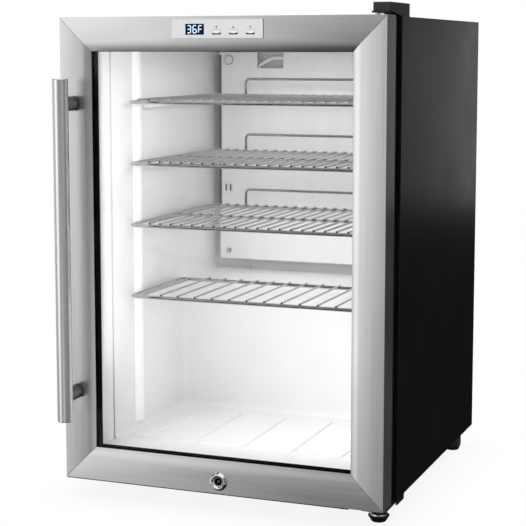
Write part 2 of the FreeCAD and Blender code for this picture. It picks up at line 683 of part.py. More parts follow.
def floor_pads():
    """Raised pads on the cavity floor, parted by grooves that run front to back."""
    pitch, groove, height, corner = 68.4, 6.0, 1.8, 7.0
    front, rear, wall_gap = 92.0, 262.0, 11.0
    pads = []
    for place in range(-1, 3):
        centre = (place - 0.5) * pitch
        x0, x1 = centre - (pitch - groove) / 2, centre + (pitch - groove) / 2
        pads.append((x0, x1))
    edge = 2 * pitch + groove / 2
    pads.append((edge, CAVITY_HALF - wall_gap))
    pads.append((-CAVITY_HALF + wall_gap, -edge))
    solids = []
    for x0, x1 in pads:
        pad = box(x0, x1, front, rear, CAVITY_FLOOR - 0.5, CAVITY_FLOOR + height)
        pad = pad.makeFillet(corner, edges_along(pad, 2))
        top = [edge for edge in pad.Edges if all(v.Z > CAVITY_FLOOR + 1 for v in edge.Vertexes)]
        solids.append(pad.makeChamfer(1.2, top))
    return solids


def shelf_ledges():
    """Moulded ledges under the side rods of each shelf, on the right wall."""
    front, thick = 158.0, 6.0
    rows = [(level, SHELF_REAR + 14) for level in SHELF_LEVELS] + [(HALF_SHELF_LEVEL, HALF_SHELF_REAR + 8)]
    ledges = []
    for level, rear in rows:
        top = level - SHELF_ROD / 2 - 0.35
        ledge = box(CAVITY_HALF - LEDGE_REACH, CAVITY_HALF + 1, front, rear, top - thick, top)
        ledges.append(ledge.makeFillet(2.0, edges_along(ledge, 0)))
    return ledges


def drain_bore(low, high):
    return rod_along("z", DRAIN_X, DRAIN_DEPTH, low, DRAIN_DIAMETER, high - low)


def liner():
    """White moulded liner: cavity walls, front flange, shelf ledges, floor pads and drain trough."""
    shell = cavity(LINER_SHEET)
    flange_half = HALF - FRONT_FLANGE - 0.2
    flange = box(-flange_half, flange_half, CABINET_FRONT, CABINET_FRONT + LINER_SHEET,
                 FLOOR_GAP + FRONT_FLANGE + 0.1, CABINET_TOP - FRONT_FLANGE - 0.1)
    shell = shell.cut(box(-HALF, HALF, 0, CABINET_FRONT, 0, CABINET_TOP))
    solid = fuse([shell, flange]).cut(cavity(0))
    right = shelf_ledges()
    extras = right + [mirrored(ledge) for ledge in right] + floor_pads()
    return fuse([solid] + extras).cut(drain_bore(STEP_TOP - 12, STEP_TOP + 5))


def insulation_foam():
    half = HALF - PANEL_SHEET - SHEET_FIT
    block = box(-half, half, CABINET_FRONT + LINER_SHEET + 0.1, BACK_PANEL_DEPTH - SHEET_FIT,
                PAN_FLOOR + SHEET_FIT, CABINET_TOP - PANEL_SHEET - SHEET_FIT)
    block = block.cut(cavity(LINER_SHEET + 0.02))
    block = block.cut(box(-HALF, HALF, MACHINE_FRONT, BACK_PANEL_DEPTH + 5, 0, MACHINE_TOP))
    x, depth, stud_top = FRONT_FEET["left"]
    block = block.cut(rod_along("z", x, depth, FLOOR_GAP, 16.0, stud_top + 4 - FLOOR_GAP))
    return block.cut(drain_bore(MACHINE_TOP - 5, STEP_TOP))


# ---- inside the cavity ----
def evaporator_plate():
    """One-side-flat plate evaporator with its notch, and the refrigerant channel raised on its back."""
    plate = box(-PLATE_HALF, PLATE_HALF, PLATE_DEPTH, PLATE_DEPTH + PLATE_THICK, PLATE_BOTTOM, PLATE_TOP)
    x0, x1, z0 = NOTCH
    plate = plate.cut(box(x0, x1, PLATE_DEPTH - 1, PLATE_DEPTH + 3, z0, PLATE_TOP + 1))
    pitch, reach = 36.0, 128.0
    lowest, rows = PLATE_BOTTOM + 30, 7
    back = PLATE_DEPTH + PLATE_THICK
    raised = box(-HALF, HALF, PLATE_DEPTH + PLATE_THICK / 2, PLATE_DEPTH + 10, 0, CABINET_TOP)
    for row in range(rows):
        channel = rod_along("x", -reach, back, lowest + pitch * row, PLATE_CHANNEL, 2 * reach)
        plate = plate.fuse(channel.common(raised))
    plate = plate.removeSplitter()
    for x, z in SPACER_PLACES:
        plate = plate.cut(rod_along("y", x, PLATE_DEPTH - 1, z, 4.2, 4))
    return plate


def evaporator_spacers():
    start = PLATE_DEPTH + PLATE_THICK
    return Part.makeCompound([
        rod_along("y", x, start, z, 11.0, CAVITY_REAR - start)
        .cut(rod_along("y", x, start - 1, z, 3.4, 16)) for x, z in SPACER_PLACES
    ])


def screw_into(axis, x, depth, z, head, shank, length, sign):
    """Domed-head screw: its head stands on the point and its shank runs along the axis."""
    shank_part = rod_along(axis, x, depth, z, shank, sign * length)
    head_part = rod_along(axis, x, depth, z, head, -sign * shank * 0.55)
    rim = [edge for edge in head_part.Edges if edge.Closed]
    outer = max(rim, key=lambda edge: (edge.CenterOfMass - at(x, depth, z)).Length)
    return fuse([head_part.makeFillet(shank * 0.4, [outer]), shank_part])


def cabinet_screws():
    screws = [screw_into("y", x, PLATE_DEPTH, z, 8.4, 3.2, 14, 1) for x, z in SPACER_PLACES]
    screws += [screw_into("z", UPPER_SCREW_X, depth, CABINET_TOP + 2.5, SCREW_HEAD, SCREW_SHANK, 3.3, -1)
               for depth in UPPER_SCREW_DEPTHS]
    screws += [screw_into("z", LOWER_SCREW_X, depth, LOWER_PLATE_BOTTOM, SCREW_HEAD, SCREW_SHANK, 3.0, 1)
               for depth in LOWER_SCREW_DEPTHS]
    return Part.makeCompound(screws)


def sensor_clip():
    """Clip for the temperature sensor: a small plate with two slots."""
    x, z = SENSOR_PLACE
    plate = box(x - 7, x + 7, PLATE_DEPTH - 2.2, PLATE_DEPTH, z - 8, z + 8)
    plate = plate.makeFillet(2.0, edges_along(plate, 1))
    for slot_x in (x - 3.6, x + 3.6):
        plate = plate.cut(box(slot_x - 1.1, slot_x + 1.1, PLATE_DEPTH - 3, PLATE_DEPTH - 0.8, z - 5, z + 5))
    return plate


def evaporator_tube():
    """Refrigerant tube from behind the plate, across its notch and into the rear wall."""
    x0, x1, z0 = NOTCH
    depth = PLATE_DEPTH + 6.5
    return bent_rod([(x0 - 14, depth, z0 - 22), (x0 + 2, depth, z0 + 4), (x0 + 22, depth, z0 + 15),
                     (x1 + 20, depth, z0 + 15), (x1 + 20, CAVITY_REAR, z0 + 15)], 6.0, 8.0)


def lamp():
    """Upright light strip on the left wall: a lamp board under a rounded diffuser."""
    wall = -CAVITY_HALF
    d0, d1 = LAMP_DEPTHS
    z0, z1 = LAMP_Z
    middle, half = (d0 + d1) / 2, (d1 - d0) / 2
    hollow_top = z1 - 12      # below the curve into the ceiling

    def dome(shrink, low, high):
        ends = [at(wall, middle - half + shrink, low), at(wall, middle + half - shrink, low)]
        crown = at(wall + LAMP_PROUD - shrink, middle, low)
        arc = Part.Arc(ends[0], crown, ends[1]).toShape()
        chord = Part.LineSegment(ends[1], ends[0]).toShape()
        return Part.Face(Part.Wire([arc, chord])).extrude(V(0, 0, high - low))

    lens = dome(0, z0, z1).cut(dome(1.5, z0 + 2, hollow_top)).common(cavity(0))
    board = box(wall, wall + 1.2, middle - 6, middle + 6, z0 + 4, hollow_top - 2)
    chips = [box(wall + 1.0, wall + 2.0, middle - 2, middle + 2, z, z + 3.5)
             for z in range(int(z0) + 16, int(hollow_top) - 14, 20)]
    return {"lamp_lens": lens, "lamp_strip": fuse([board] + chips)}


# ---- shelves ----
def shelf_deck(level, rear, pitch, wires_each_side, cross_bars, inner_rods):
    """Wire shelf: a rod frame with rounded corners, cross bars under it and wires on top of it."""
    corner = 9.0
    front = SHELF_FRONT
    half_frame = [
        (0, front, level), (SHELF_HALF, front, level), (SHELF_HALF, rear, level), (0, rear, level),
    ]
    right = bent_rod(half_frame, SHELF_ROD, corner)
    pieces = [right, mirrored(right)]
    for depth in cross_bars:
        pieces.append(rod_along("x", -SHELF_HALF, depth, level + 0.4, SHELF_ROD - 1, 2 * SHELF_HALF))
    for x in inner_rods:
        pieces.append(rod_along("y", x, front, level + 0.4, SHELF_ROD - 1, rear - front))
    wire_level = level + SHELF_ROD / 2 + SHELF_WIRE / 2 - 0.5
    for place in range(-wires_each_side, wires_each_side + 1):
        pieces.append(rod_along("y", place * pitch, front - 1.5, wire_level, SHELF_WIRE, rear - front + 3))
    return fuse(pieces)


def shelf_guard(level):
    """Low rail that keeps goods off the evaporator plate."""
    half, rise = 110.0, 26.0
    foot = level + SHELF_ROD / 2 - 0.8
    return bent_rod([(-half, SHELF_REAR, foot), (-half, SHELF_REAR, level + rise),
                     (half, SHELF_REAR, level + rise), (half, SHELF_REAR, foot)], 4.0, 6.0)


def shelves():
    made = {}
    master = shelf_deck(0, SHELF_REAR, WIRE_SPACING, 10, (SHELF_CROSS_BAR,), ())
    guard = shelf_guard(0)
    for number, level in enumerate(SHELF_LEVELS, 1):
        made[f"shelf_{number}_deck"] = master.translated(V(0, 0, level))
        made[f"shelf_{number}_guard"] = guard.translated(V(0, 0, level))
    side_rods = (SIDE_ROD_INSET - SHELF_HALF, SHELF_HALF - SIDE_ROD_INSET)
    made["shelf_4_deck"] = shelf_deck(HALF_SHELF_LEVEL, HALF_SHELF_REAR, HALF_WIRE_SPACING, 5, (), side_rods)
    return made


# ---- cooling machine ----
def compressor():
    x, depth = COMPRESSOR
    margin = 12.0
    body = rod_along("z", x, depth, COMPRESSOR_FLOOR, 2 * COMPRESSOR_RADIUS, COMPRESSOR_HEIGHT)
    body = body.makeFillet(24.0, [edge for edge in body.Edges if edge.Closed])
    seam = rod_along("z", x, depth, 96, 2 * COMPRESSOR_RADIUS + 6, 4)
    across, back = MOUNT_REACH[0] + margin, MOUNT_REACH[1] + margin
    plate = box(x - across, x + across, depth - back, depth + back, *MOUNT_PLATE)
    plate = plate.makeFillet(10.0, edges_along(plate, 2))
    neck = rod_along("z", x, depth, MOUNT_PLATE[0] + 1, COMPRESSOR_RADIUS, 20)
    shape = fuse([body, seam, plate, neck])
    for hole_x, hole_depth in GROMMET_PLACES:
        shape = shape.cut(rod_along("z", hole_x, hole_depth, MOUNT_PLATE[0] - PAST, GROMMET_NECK, 12))
    return shape


def compressor_grommets():
    grommets = []
    for x, depth in GROMMET_PLACES:
        foot = rod_along("z", x, depth, PAN_FLOOR, 20.0, MOUNT_PLATE[0] - PAN_FLOOR)
        neck = rod_along("z", x, depth, MOUNT_PLATE[0], GROMMET_NECK, 4)
        collar = rod_along("z", x, depth, MOUNT_PLATE[1], 16.0, 3)
        grommets.append(fuse([foot, neck, collar]))
    return Part.makeCompound(grommets)


def terminal_cover():
    """Box on the compressor's side over the start relay and overload."""
    x, depth = COMPRESSOR
    edge = x - COMPRESSOR_RADIUS
    cover = box(edge - 24, edge + 14, depth - 25, depth + 25, 78, 132)
    cover = cover.makeFillet(4.0, edges_along(cover, 2) + edges_along(cover, 1))
    return cover.cut(compressor())


def drain_pan():
    """Evaporation tray that sits on the warm compressor."""
    x, depth = COMPRESSOR
    across, back, height = DRAIN_PAN_SIZE
    wall, corner = 2.0, 8.0
    low = COMPRESSOR_FLOOR + COMPRESSOR_HEIGHT + 0.1

    def tray(shrink, z0, z1):
        block = box(x - across / 2 + shrink, x + across / 2 - shrink,
                    depth - back / 2 + shrink, depth + back / 2 - shrink, z0, z1)
        return block.makeFillet(corner - shrink, edges_along(block, 2))

    return tray(0, low, low + height).cut(tray(wall, low + wall, low + height + PAST))


def drain_tube():
    low, wall = 178.0, 1.5
    inside = rod_along("z", DRAIN_X, DRAIN_DEPTH, low - PAST, DRAIN_DIAMETER - 2 * wall, STEP_TOP - low)
    return drain_bore(low, STEP_TOP - TROUGH[3]).cut(inside)


def condenser():
    """Serpentine tube on the back, with upright wires lying against both sides of it."""
    points = [INLET, (INLET[0], COIL_DEPTH, COIL_LOW)]
    for row in range(COIL_ROWS):
        z = COIL_LOW + COIL_PITCH * row
        ends = (COIL_HALF, -COIL_HALF) if row % 2 == 0 else (-COIL_HALF, COIL_HALF)
        first = [] if row == 0 else [(ends[0], COIL_DEPTH, z)]
        last = OUTLET[0] if row == COIL_ROWS - 1 else ends[1]
        points += first + [(last, COIL_DEPTH, z)]
    points.append(OUTLET)
    tube = bent_rod(points, TUBE_DIAMETER, 9.0)
    gap = TUBE_DIAMETER / 2 + COIL_WIRE / 2 + SHEET_FIT / 2
    overhang = 12.0
    low = COIL_LOW - overhang
    height = COIL_PITCH * (COIL_ROWS - 1) + 2 * overhang
    wires = []
    for place in range(-WIRES_EACH_SIDE, WIRES_EACH_SIDE + 1):
        for side in (-gap, gap):
            wires.append(rod_along("z", place * WIRE_PITCH, COIL_DEPTH + side, low, COIL_WIRE, height))
    return Part.makeCompound([tube] + wires)


def filter_drier():
    """Copper filter drier with the capillary tube that leaves its lower end."""
    x, depth, z = DRIER
    taper, drop = 10.0, 14.0
    capillary_x, capillary_depth = x + 44, depth - 30
    body = rod_along("z", x, depth, z + taper, DRIER_DIAMETER, DRIER_HEIGHT - 2 * taper)
    top = cone_up(x, depth, z + DRIER_HEIGHT - taper, DRIER_DIAMETER, 6.0, taper)
    bottom = cone_up(x, depth, z, 4.0, DRIER_DIAMETER, taper)
    capillary = bent_rod([(x, depth, z + 1), (x, depth, z - drop), (capillary_x, capillary_depth, z - drop),
                          (capillary_x, capillary_depth, MACHINE_TOP)], 2.4, 6.0)
    return fuse([body, top, bottom, capillary])


def refrigerant_lines():
    """Hot line to the condenser, liquid line to the drier and return line to the compressor."""
    x, depth = COMPRESSOR
    right, left = x + COMPRESSOR_RADIUS - 0.3, x - COMPRESSOR_RADIUS + 0.3
    hot_level, cold_level, away = 84.0, 68.0, 44.0
    hot = bent_rod([(right, depth, hot_level), (INLET[0], depth, hot_level),
                    (INLET[0], COIL_DEPTH, hot_level), INLET], TUBE_DIAMETER, 14.0)
    cold = bent_rod([(left, depth, cold_level), (left - away, depth, cold_level),
                     (left - away, depth, MACHINE_TOP)], 6.4, 14.0)
    drier_x, drier_depth, drier_low = DRIER
    drier_top = drier_low + DRIER_HEIGHT
    liquid = bent_rod([OUTLET, (OUTLET[0], COIL_DEPTH, 200), (drier_x, drier_depth, 182),
                       (drier_x, drier_depth, drier_top)], TUBE_DIAMETER, 9.0)
    return Part.makeCompound([hot.cut(compressor()), liquid, cold.cut(compressor())])


def cabinet():
    left = side_panel()
    return {
        "side_panel_left": left,
        "side_panel_right": mirrored(left),
        "top_panel": top_panel(),
        "back_panel": back_panel(),
        "base_pan": base_pan(),
        "insulation_foam": insulation_foam(),
        "liner": liner(),
        "upper_hinge_plate": upper_hinge_plate(),
        "lower_hinge_bracket": lower_hinge_bracket(),
        "hinge_pins": hinge_pins(),
        "hinge_cover": hinge_cover(),
        "lock_strike": lock_strike(),
        "rear_feet": rear_feet(),
        "cord_gland": cord_gland(),
        "cabinet_screws": cabinet_screws(),
    }


def cooling():
    return {
        "evaporator_plate": evaporator_plate(),
        "evaporator_spacers": evaporator_spacers(),
        "evaporator_tube": evaporator_tube(),
        "sensor_clip": sensor_clip(),
        "compressor": compressor(),
        "compressor_grommets": compressor_grommets(),
        "terminal_cover": terminal_cover(),
        "drain_pan": drain_pan(),
        "drain_tube": drain_tube(),
        "condenser": condenser(),
        "filter_drier": filter_drier(),
        "refrigerant_lines": refrigerant_lines(),
    }


def door():
    return {
        **door_rails(),
        "door_core": door_core(),
        "door_inner_trim": door_inner_trim(),
        **glazing(),
        "door_gasket": door_gasket(),
        "handle_bar": handle_bar(),
        "handle_posts": handle_posts(),
        "control_bezel": control_bezel(),
        "display_window": display_window(),
        "control_board": control_board(),
        "hinge_bushes": hinge_bushes(),
    }


def main():
    os.makedirs("parts", exist_ok=True)
    feet = {f"front_foot_{side}": front_foot(*place) for side, place in FRONT_FEET.items()}
    nodes = {**cabinet(), **cooling(), **lamp(), **shelves(), **feet, **door(), **lock(), **buttons()}
    for name, shape in nodes.items():
        if not shape.isValid() or not shape.Solids:
            print("check this node:", name)
        shape.exportStep(f"parts/{name}.step")
    print(len(nodes), "nodes written")


main()
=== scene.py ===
"""Looks for the compact glass-door undercounter refrigerator: materials, fine pieces, light and camera.

Metres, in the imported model's frame: +X right, +Y back (the door faces -Y), +Z up, floor at zero.
"""
import json
import math

import bmesh
import bpy
from mathutils import Matrix, Vector


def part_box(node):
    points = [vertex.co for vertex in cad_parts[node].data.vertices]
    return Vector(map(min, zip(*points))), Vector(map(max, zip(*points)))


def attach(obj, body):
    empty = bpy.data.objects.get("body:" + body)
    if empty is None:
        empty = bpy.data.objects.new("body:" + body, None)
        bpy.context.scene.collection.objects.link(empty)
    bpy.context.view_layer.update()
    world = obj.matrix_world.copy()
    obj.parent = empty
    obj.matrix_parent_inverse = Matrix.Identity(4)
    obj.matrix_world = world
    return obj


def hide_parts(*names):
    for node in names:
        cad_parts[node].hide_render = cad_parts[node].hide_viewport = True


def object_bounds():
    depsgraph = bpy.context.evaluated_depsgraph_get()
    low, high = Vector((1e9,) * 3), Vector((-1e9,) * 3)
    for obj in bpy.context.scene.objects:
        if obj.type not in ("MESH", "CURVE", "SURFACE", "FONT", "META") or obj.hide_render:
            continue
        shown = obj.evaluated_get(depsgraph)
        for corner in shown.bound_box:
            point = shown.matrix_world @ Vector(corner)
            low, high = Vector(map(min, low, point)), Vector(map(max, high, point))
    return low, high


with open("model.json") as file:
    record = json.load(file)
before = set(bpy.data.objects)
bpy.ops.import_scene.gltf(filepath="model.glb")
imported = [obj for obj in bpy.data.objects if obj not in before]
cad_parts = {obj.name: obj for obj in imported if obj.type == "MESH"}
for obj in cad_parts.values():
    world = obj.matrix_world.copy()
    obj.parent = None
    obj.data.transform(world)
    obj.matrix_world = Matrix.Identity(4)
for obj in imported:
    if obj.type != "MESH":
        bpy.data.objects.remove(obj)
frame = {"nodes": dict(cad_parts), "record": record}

CAD_BOX = [list(corner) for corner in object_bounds()]
NODES = frame["nodes"]
MM = 0.001
BODY_OF = {node: body for body, members in frame["record"]["behaviour"]["bodies"].items() for node in members}


# ---------------------------------------------------------------- material graphs
class Graph:
    """One material: a Principled shader and short ways to add the nodes that drive it."""

    def __init__(self, name, color=(0.8, 0.8, 0.8), roughness=0.5, metallic=0.0, **inputs):
        self.material = bpy.data.materials.new(name)
        self.material.use_nodes = True
        self.tree = self.material.node_tree
        self.tree.nodes.clear()
        output = self.add("ShaderNodeOutputMaterial")
        self.shader = self.add("ShaderNodeBsdfPrincipled")
        self.join(self.shader.outputs["BSDF"], output.inputs["Surface"])
        self.place = self.add("ShaderNodeTexCoord").outputs["Object"]
        self.shader.inputs["Base Color"].default_value = (*color, 1)
        self.shader.inputs["Roughness"].default_value = roughness
        self.shader.inputs["Metallic"].default_value = metallic
        for socket, value in inputs.items():
            self.shader.inputs[socket.replace("_", " ")].default_value = value

    def add(self, kind, **settings):
        """A node of a kind, with its settings."""
        node = self.tree.nodes.new(kind)
        for name, value in settings.items():
            setattr(node, name, value)
        return node

    def join(self, source, target):
        self.tree.links.new(source, target)

    def stretched(self, scale):
        """Object coordinates multiplied by a scale for each axis."""
        mapping = self.add("ShaderNodeMapping")
        mapping.inputs["Scale"].default_value = scale
        self.join(self.place, mapping.inputs["Vector"])
        return mapping.outputs["Vector"]

    def noise(self, scale, detail=2.0, rough=0.5, stretch=(1, 1, 1)):
        """Noise with features about 1/scale metres across."""
        node = self.add("ShaderNodeTexNoise")
        node.inputs["Scale"].default_value = 1.0
        node.inputs["Detail"].default_value = detail
        node.inputs["Roughness"].default_value = rough
        self.join(self.stretched([scale * s for s in stretch]), node.inputs["Vector"])
        return node.outputs["Fac"]

    def cells(self, scale):
        """Voronoi cells about 1/scale metres across."""
        node = self.add("ShaderNodeTexVoronoi")
        node.inputs["Scale"].default_value = 1.0
        self.join(self.stretched([scale] * 3), node.inputs["Vector"])
        return node

    def spread(self, fac, low, high, start=0.3, end=0.7):
        """Maps a factor between start and end onto low to high."""
        node = self.add("ShaderNodeMapRange")
        for socket, value in (("From Min", start), ("From Max", end), ("To Min", low), ("To Max", high)):
            node.inputs[socket].default_value = value
        self.join(fac, node.inputs["Value"])
        return node.outputs["Result"]

    def colors(self, fac, low, high, start=0.3, end=0.7):
        """A colour between low and high."""
        node = self.add("ShaderNodeValToRGB")
        first, last = node.color_ramp.elements
        first.position, first.color = start, (*low, 1)
        last.position, last.color = end, (*high, 1)
        self.join(fac, node.inputs["Fac"])
        return node.outputs["Color"]

    def sum_of(self, first, second, share):
        """first * (1 - share) + second * share."""
        node = self.add("ShaderNodeMix", data_type="FLOAT")
        node.inputs["Factor"].default_value = share
        self.join(first, node.inputs["A"])
        self.join(second, node.inputs["B"])
        return node.outputs["Result"]

    def bump(self, height, strength, distance):
        """Small relief from a height, the distance in metres."""
        node = self.add("ShaderNodeBump")
        node.inputs["Strength"].default_value = strength
        node.inputs["Distance"].default_value = distance
        self.join(height, node.inputs["Height"])
        self.join(node.outputs["Normal"], self.shader.inputs["Normal"])

    def drive(self, socket, source):
        """Feeds one of the shader's sockets."""
        self.join(source, self.shader.inputs[socket])


def brushed(name, along, tone=0.60, roughness=0.30, turn=0.0):
    """Brushed stainless with its grain along one axis: hairlines, broader streaks and a soft sheen."""
    graph = Graph(name, roughness=roughness, metallic=1.0, Anisotropic=0.65, Anisotropic_Rotation=turn)
    hairline_across, hairline_along = 3200.0, 14.0
    streak_across, streak_along = 260.0, 3.0
    fine_stretch = [hairline_along if axis == along else hairline_across for axis in range(3)]
    broad_stretch = [streak_along if axis == along else streak_across for axis in range(3)]
    fine = graph.noise(1.0, 3.0, 0.6, fine_stretch)
    broad = graph.noise(1.0, 4.0, 0.65, broad_stretch)
    smudge = graph.noise(7.0, 3.0, 0.55)
    streaks = graph.sum_of(fine, broad, 0.55)
    light, dark = [tone * 1.07] * 3, [tone * 0.92] * 3
    graph.drive("Base Color", graph.colors(streaks, dark, light, 0.34, 0.66))
    rough_mix = graph.sum_of(streaks, smudge, 0.4)
    graph.drive("Roughness", graph.spread(rough_mix, roughness - 0.05, roughness + 0.07, 0.32, 0.68))
    graph.bump(fine, 0.06, 0.0002)
    return graph.material


def painted(name, color, roughness=0.34, peel=0.05, scale=750.0):
    """Powder-coated or sprayed metal with faint orange peel and handling marks."""
    graph = Graph(name, color, roughness)
    peel_noise = graph.noise(scale, 2.0)
    marks = graph.noise(9.0, 5.0, 0.6)
    lighter = [min(1.0, c * 1.12 + 0.002) for c in color]
    graph.drive("Base Color", graph.colors(marks, color, lighter, 0.35, 0.75))
    graph.drive("Roughness", graph.spread(marks, roughness - 0.03, roughness + 0.05))
    graph.bump(peel_noise, peel, 0.0004)
    return graph.material


def moulded(name, color, roughness=0.45, grain=0.12, scale=2400.0, **inputs):
    """Injection-moulded plastic with a fine spark-eroded grain."""
    graph = Graph(name, color, roughness, **inputs)
    fine = graph.noise(scale, 2.0)
    slow = graph.noise(18.0, 3.0)
    lighter = [min(1.0, c * 1.06 + 0.003) for c in color]
    graph.drive("Base Color", graph.colors(slow, color, lighter))
    graph.drive("Roughness", graph.spread(graph.sum_of(fine, slow, 0.5), roughness - 0.05, roughness + 0.06))
    graph.bump(fine, grain, 0.0002)
    return graph.material


def vacuum_formed(name):
    """White liner sheet: smooth, a little wavy, slightly glossier on its crests."""
    graph = Graph(name, (0.86, 0.865, 0.865), 0.34)
    waves = graph.noise(22.0, 2.0)
    fine = graph.noise(1300.0, 2.0)
    graph.drive("Base Color", graph.colors(waves, (0.845, 0.85, 0.85), (0.875, 0.88, 0.88)))
    graph.drive("Roughness", graph.spread(waves, 0.29, 0.38))
    graph.bump(graph.sum_of(waves, fine, 0.25), 0.12, 0.0012)
    return graph.material


def enamelled_plate(name):
    """Roll-bonded aluminium plate in gloss white: long shallow waves that bend what it mirrors."""
    graph = Graph(name, (0.86, 0.865, 0.87), 0.14, Coat_Weight=0.5, Coat_Roughness=0.06)
    waves = graph.noise(1.0, 2.0, 0.5, (55.0, 55.0, 6.0))
    peel = graph.noise(900.0, 2.0)
    graph.drive("Base Color", graph.colors(waves, (0.84, 0.845, 0.85), (0.88, 0.885, 0.89)))
    graph.drive("Roughness", graph.spread(peel, 0.11, 0.17))
    graph.bump(graph.sum_of(waves, peel, 0.2), 0.18, 0.0015)
    return graph.material


def plated(name, tone=0.78, roughness=0.10, tint=(1.0, 1.0, 1.0)):
    """Chrome or zinc plate with faint drawing lines and a slight haze."""
    graph = Graph(name, metallic=1.0, roughness=roughness)
    haze = graph.noise(60.0, 4.0, 0.6)
    pits = graph.noise(1800.0, 2.0)
    low = [tone * 0.93 * t for t in tint]
    high = [min(1.0, tone * 1.05 * t) for t in tint]
    graph.drive("Base Color", graph.colors(haze, low, high))
    graph.drive("Roughness", graph.spread(graph.sum_of(haze, pits, 0.4), roughness * 0.7, roughness * 1.5))
    graph.bump(pits, 0.05, 0.0001)
    return graph.material


def galvanised(name):
    """Zinc-coated sheet with crystal spangle."""
    graph = Graph(name, (0.5, 0.51, 0.52), 0.4, metallic=0.9)
    spangle = graph.cells(95.0)
    tone = graph.add("ShaderNodeSeparateColor")
    graph.join(spangle.outputs["Color"], tone.inputs["Color"])
    dust = graph.noise(14.0, 5.0, 0.6)
    facets = graph.sum_of(tone.outputs["Red"], dust, 0.4)
    graph.drive("Base Color", graph.colors(facets, (0.37, 0.38, 0.39), (0.62, 0.63, 0.64), 0.2, 0.8))
    graph.drive("Roughness", graph.spread(facets, 0.30, 0.48, 0.2, 0.8))
    graph.bump(tone.outputs["Green"], 0.06, 0.0002)
    return graph.material


def copper(name):
    """Drawn copper tube with brown tarnish in patches."""
    graph = Graph(name, (0.62, 0.30, 0.18), 0.3, metallic=1.0)
    tarnish = graph.noise(45.0, 5.0, 0.65)
    graph.drive("Base Color", graph.colors(tarnish, (0.72, 0.38, 0.25), (0.36, 0.17, 0.10), 0.42, 0.72))
    graph.drive("Roughness", graph.spread(tarnish, 0.22, 0.46, 0.35, 0.7))
    graph.bump(tarnish, 0.08, 0.0003)
    return graph.material


def rubber(name):
    """Black rubber with a pale bloom in patches."""
    graph = Graph(name, (0.017, 0.017, 0.018), 0.62)
    bloom = graph.noise(30.0, 4.0, 0.6)
    fine = graph.noise(1600.0, 2.0)
    graph.drive("Base Color", graph.colors(bloom, (0.014, 0.014, 0.015), (0.026, 0.026, 0.027)))
    graph.drive("Roughness", graph.spread(bloom, 0.55, 0.72))
    graph.bump(fine, 0.15, 0.0003)
    return graph.material


def foam(name):
    """Rigid polyurethane foam: buff skin with closed cells."""
    graph = Graph(name, (0.80, 0.70, 0.46), 0.85)
    cells = graph.cells(650.0).outputs["Distance"]
    stain = graph.noise(20.0, 4.0)
    graph.drive("Base Color", graph.colors(stain, (0.70, 0.58, 0.34), (0.84, 0.75, 0.52)))
    graph.drive("Roughness", graph.spread(cells, 0.78, 0.92, 0.1, 0.6))
    graph.bump(cells, 0.5, 0.0008)
    return graph.material


def clear_glass(name):
    """Thin clear glazing: it mirrors by angle and lets the rest straight through."""
    graph = Graph(name, (0.93, 0.97, 0.96), 0.02, metallic=1.0)
    wave = graph.noise(6.0, 2.0)
    graph.bump(wave, 0.02, 0.002)
    head_on, at_edge, steepness = 0.008, 0.9, 4.0
    weight = graph.add("ShaderNodeLayerWeight")
    weight.inputs["Blend"].default_value = 0.5
    steep = graph.add("ShaderNodeMath", operation="POWER")
    steep.inputs[1].default_value = steepness
    mirror = graph.add("ShaderNodeMath", operation="MULTIPLY_ADD")
    mirror.inputs[1].default_value = at_edge
    mirror.inputs[2].default_value = head_on
    graph.join(weight.outputs["Facing"], steep.inputs[0])
    graph.join(steep.outputs["Value"], mirror.inputs[0])
    graph.drive("Roughness", graph.spread(wave, 0.015, 0.03))
    graph.drive("Alpha", mirror.outputs["Value"])
    return graph.material


def diffuser(name):
    """Ribbed opal lens over the lamps: it glows softly."""
    graph = Graph(name, (0.93, 0.935, 0.93), 0.3, Emission_Color=(1.0, 0.99, 0.97, 1), Emission_Strength=0.10)
    ribs = graph.noise(1.0, 1.0, 0.5, (20.0, 20.0, 900.0))
    graph.drive("Base Color", graph.colors(ribs, (0.90, 0.905, 0.90), (0.95, 0.955, 0.95)))
    graph.drive("Roughness", graph.spread(ribs, 0.26, 0.36))
    graph.bump(ribs, 0.1, 0.0003)
    return graph.material


def glowing(name, color, strength):
    """Lit display segments, a little uneven along each bar."""
    graph = Graph(name, (0.02, 0.03, 0.05), 0.3, Emission_Strength=strength)
    uneven = graph.noise(600.0, 2.0)
    dim = [c * 0.8 for c in color]
    graph.drive("Emission Color", graph.colors(uneven, dim, color))
    return graph.material


def smoked_window(name):
    """Dark blue acrylic over the display."""
    graph = Graph(name, (0.002, 0.004, 0.018), 0.2, Specular_IOR_Level=0.02)
    sweep = graph.noise(90.0, 2.0)
    graph.drive("Base Color", graph.colors(sweep, (0.003, 0.006, 0.024), (0.006, 0.012, 0.042)))
    graph.drive("Roughness", graph.spread(sweep, 0.15, 0.24))
    return graph.material


def circuit_board(name):
    """Green lacquered board, mottled by the tracks under the lacquer."""
    graph = Graph(name, (0.02, 0.16, 0.07), 0.35)
    cells = graph.cells(420.0).outputs["Distance"]
    graph.drive("Base Color", graph.colors(cells, (0.015, 0.12, 0.05), (0.03, 0.22, 0.10)))
    graph.drive("Roughness", graph.spread(cells, 0.28, 0.45))
    graph.bump(cells, 0.1, 0.0002)
    return graph.material


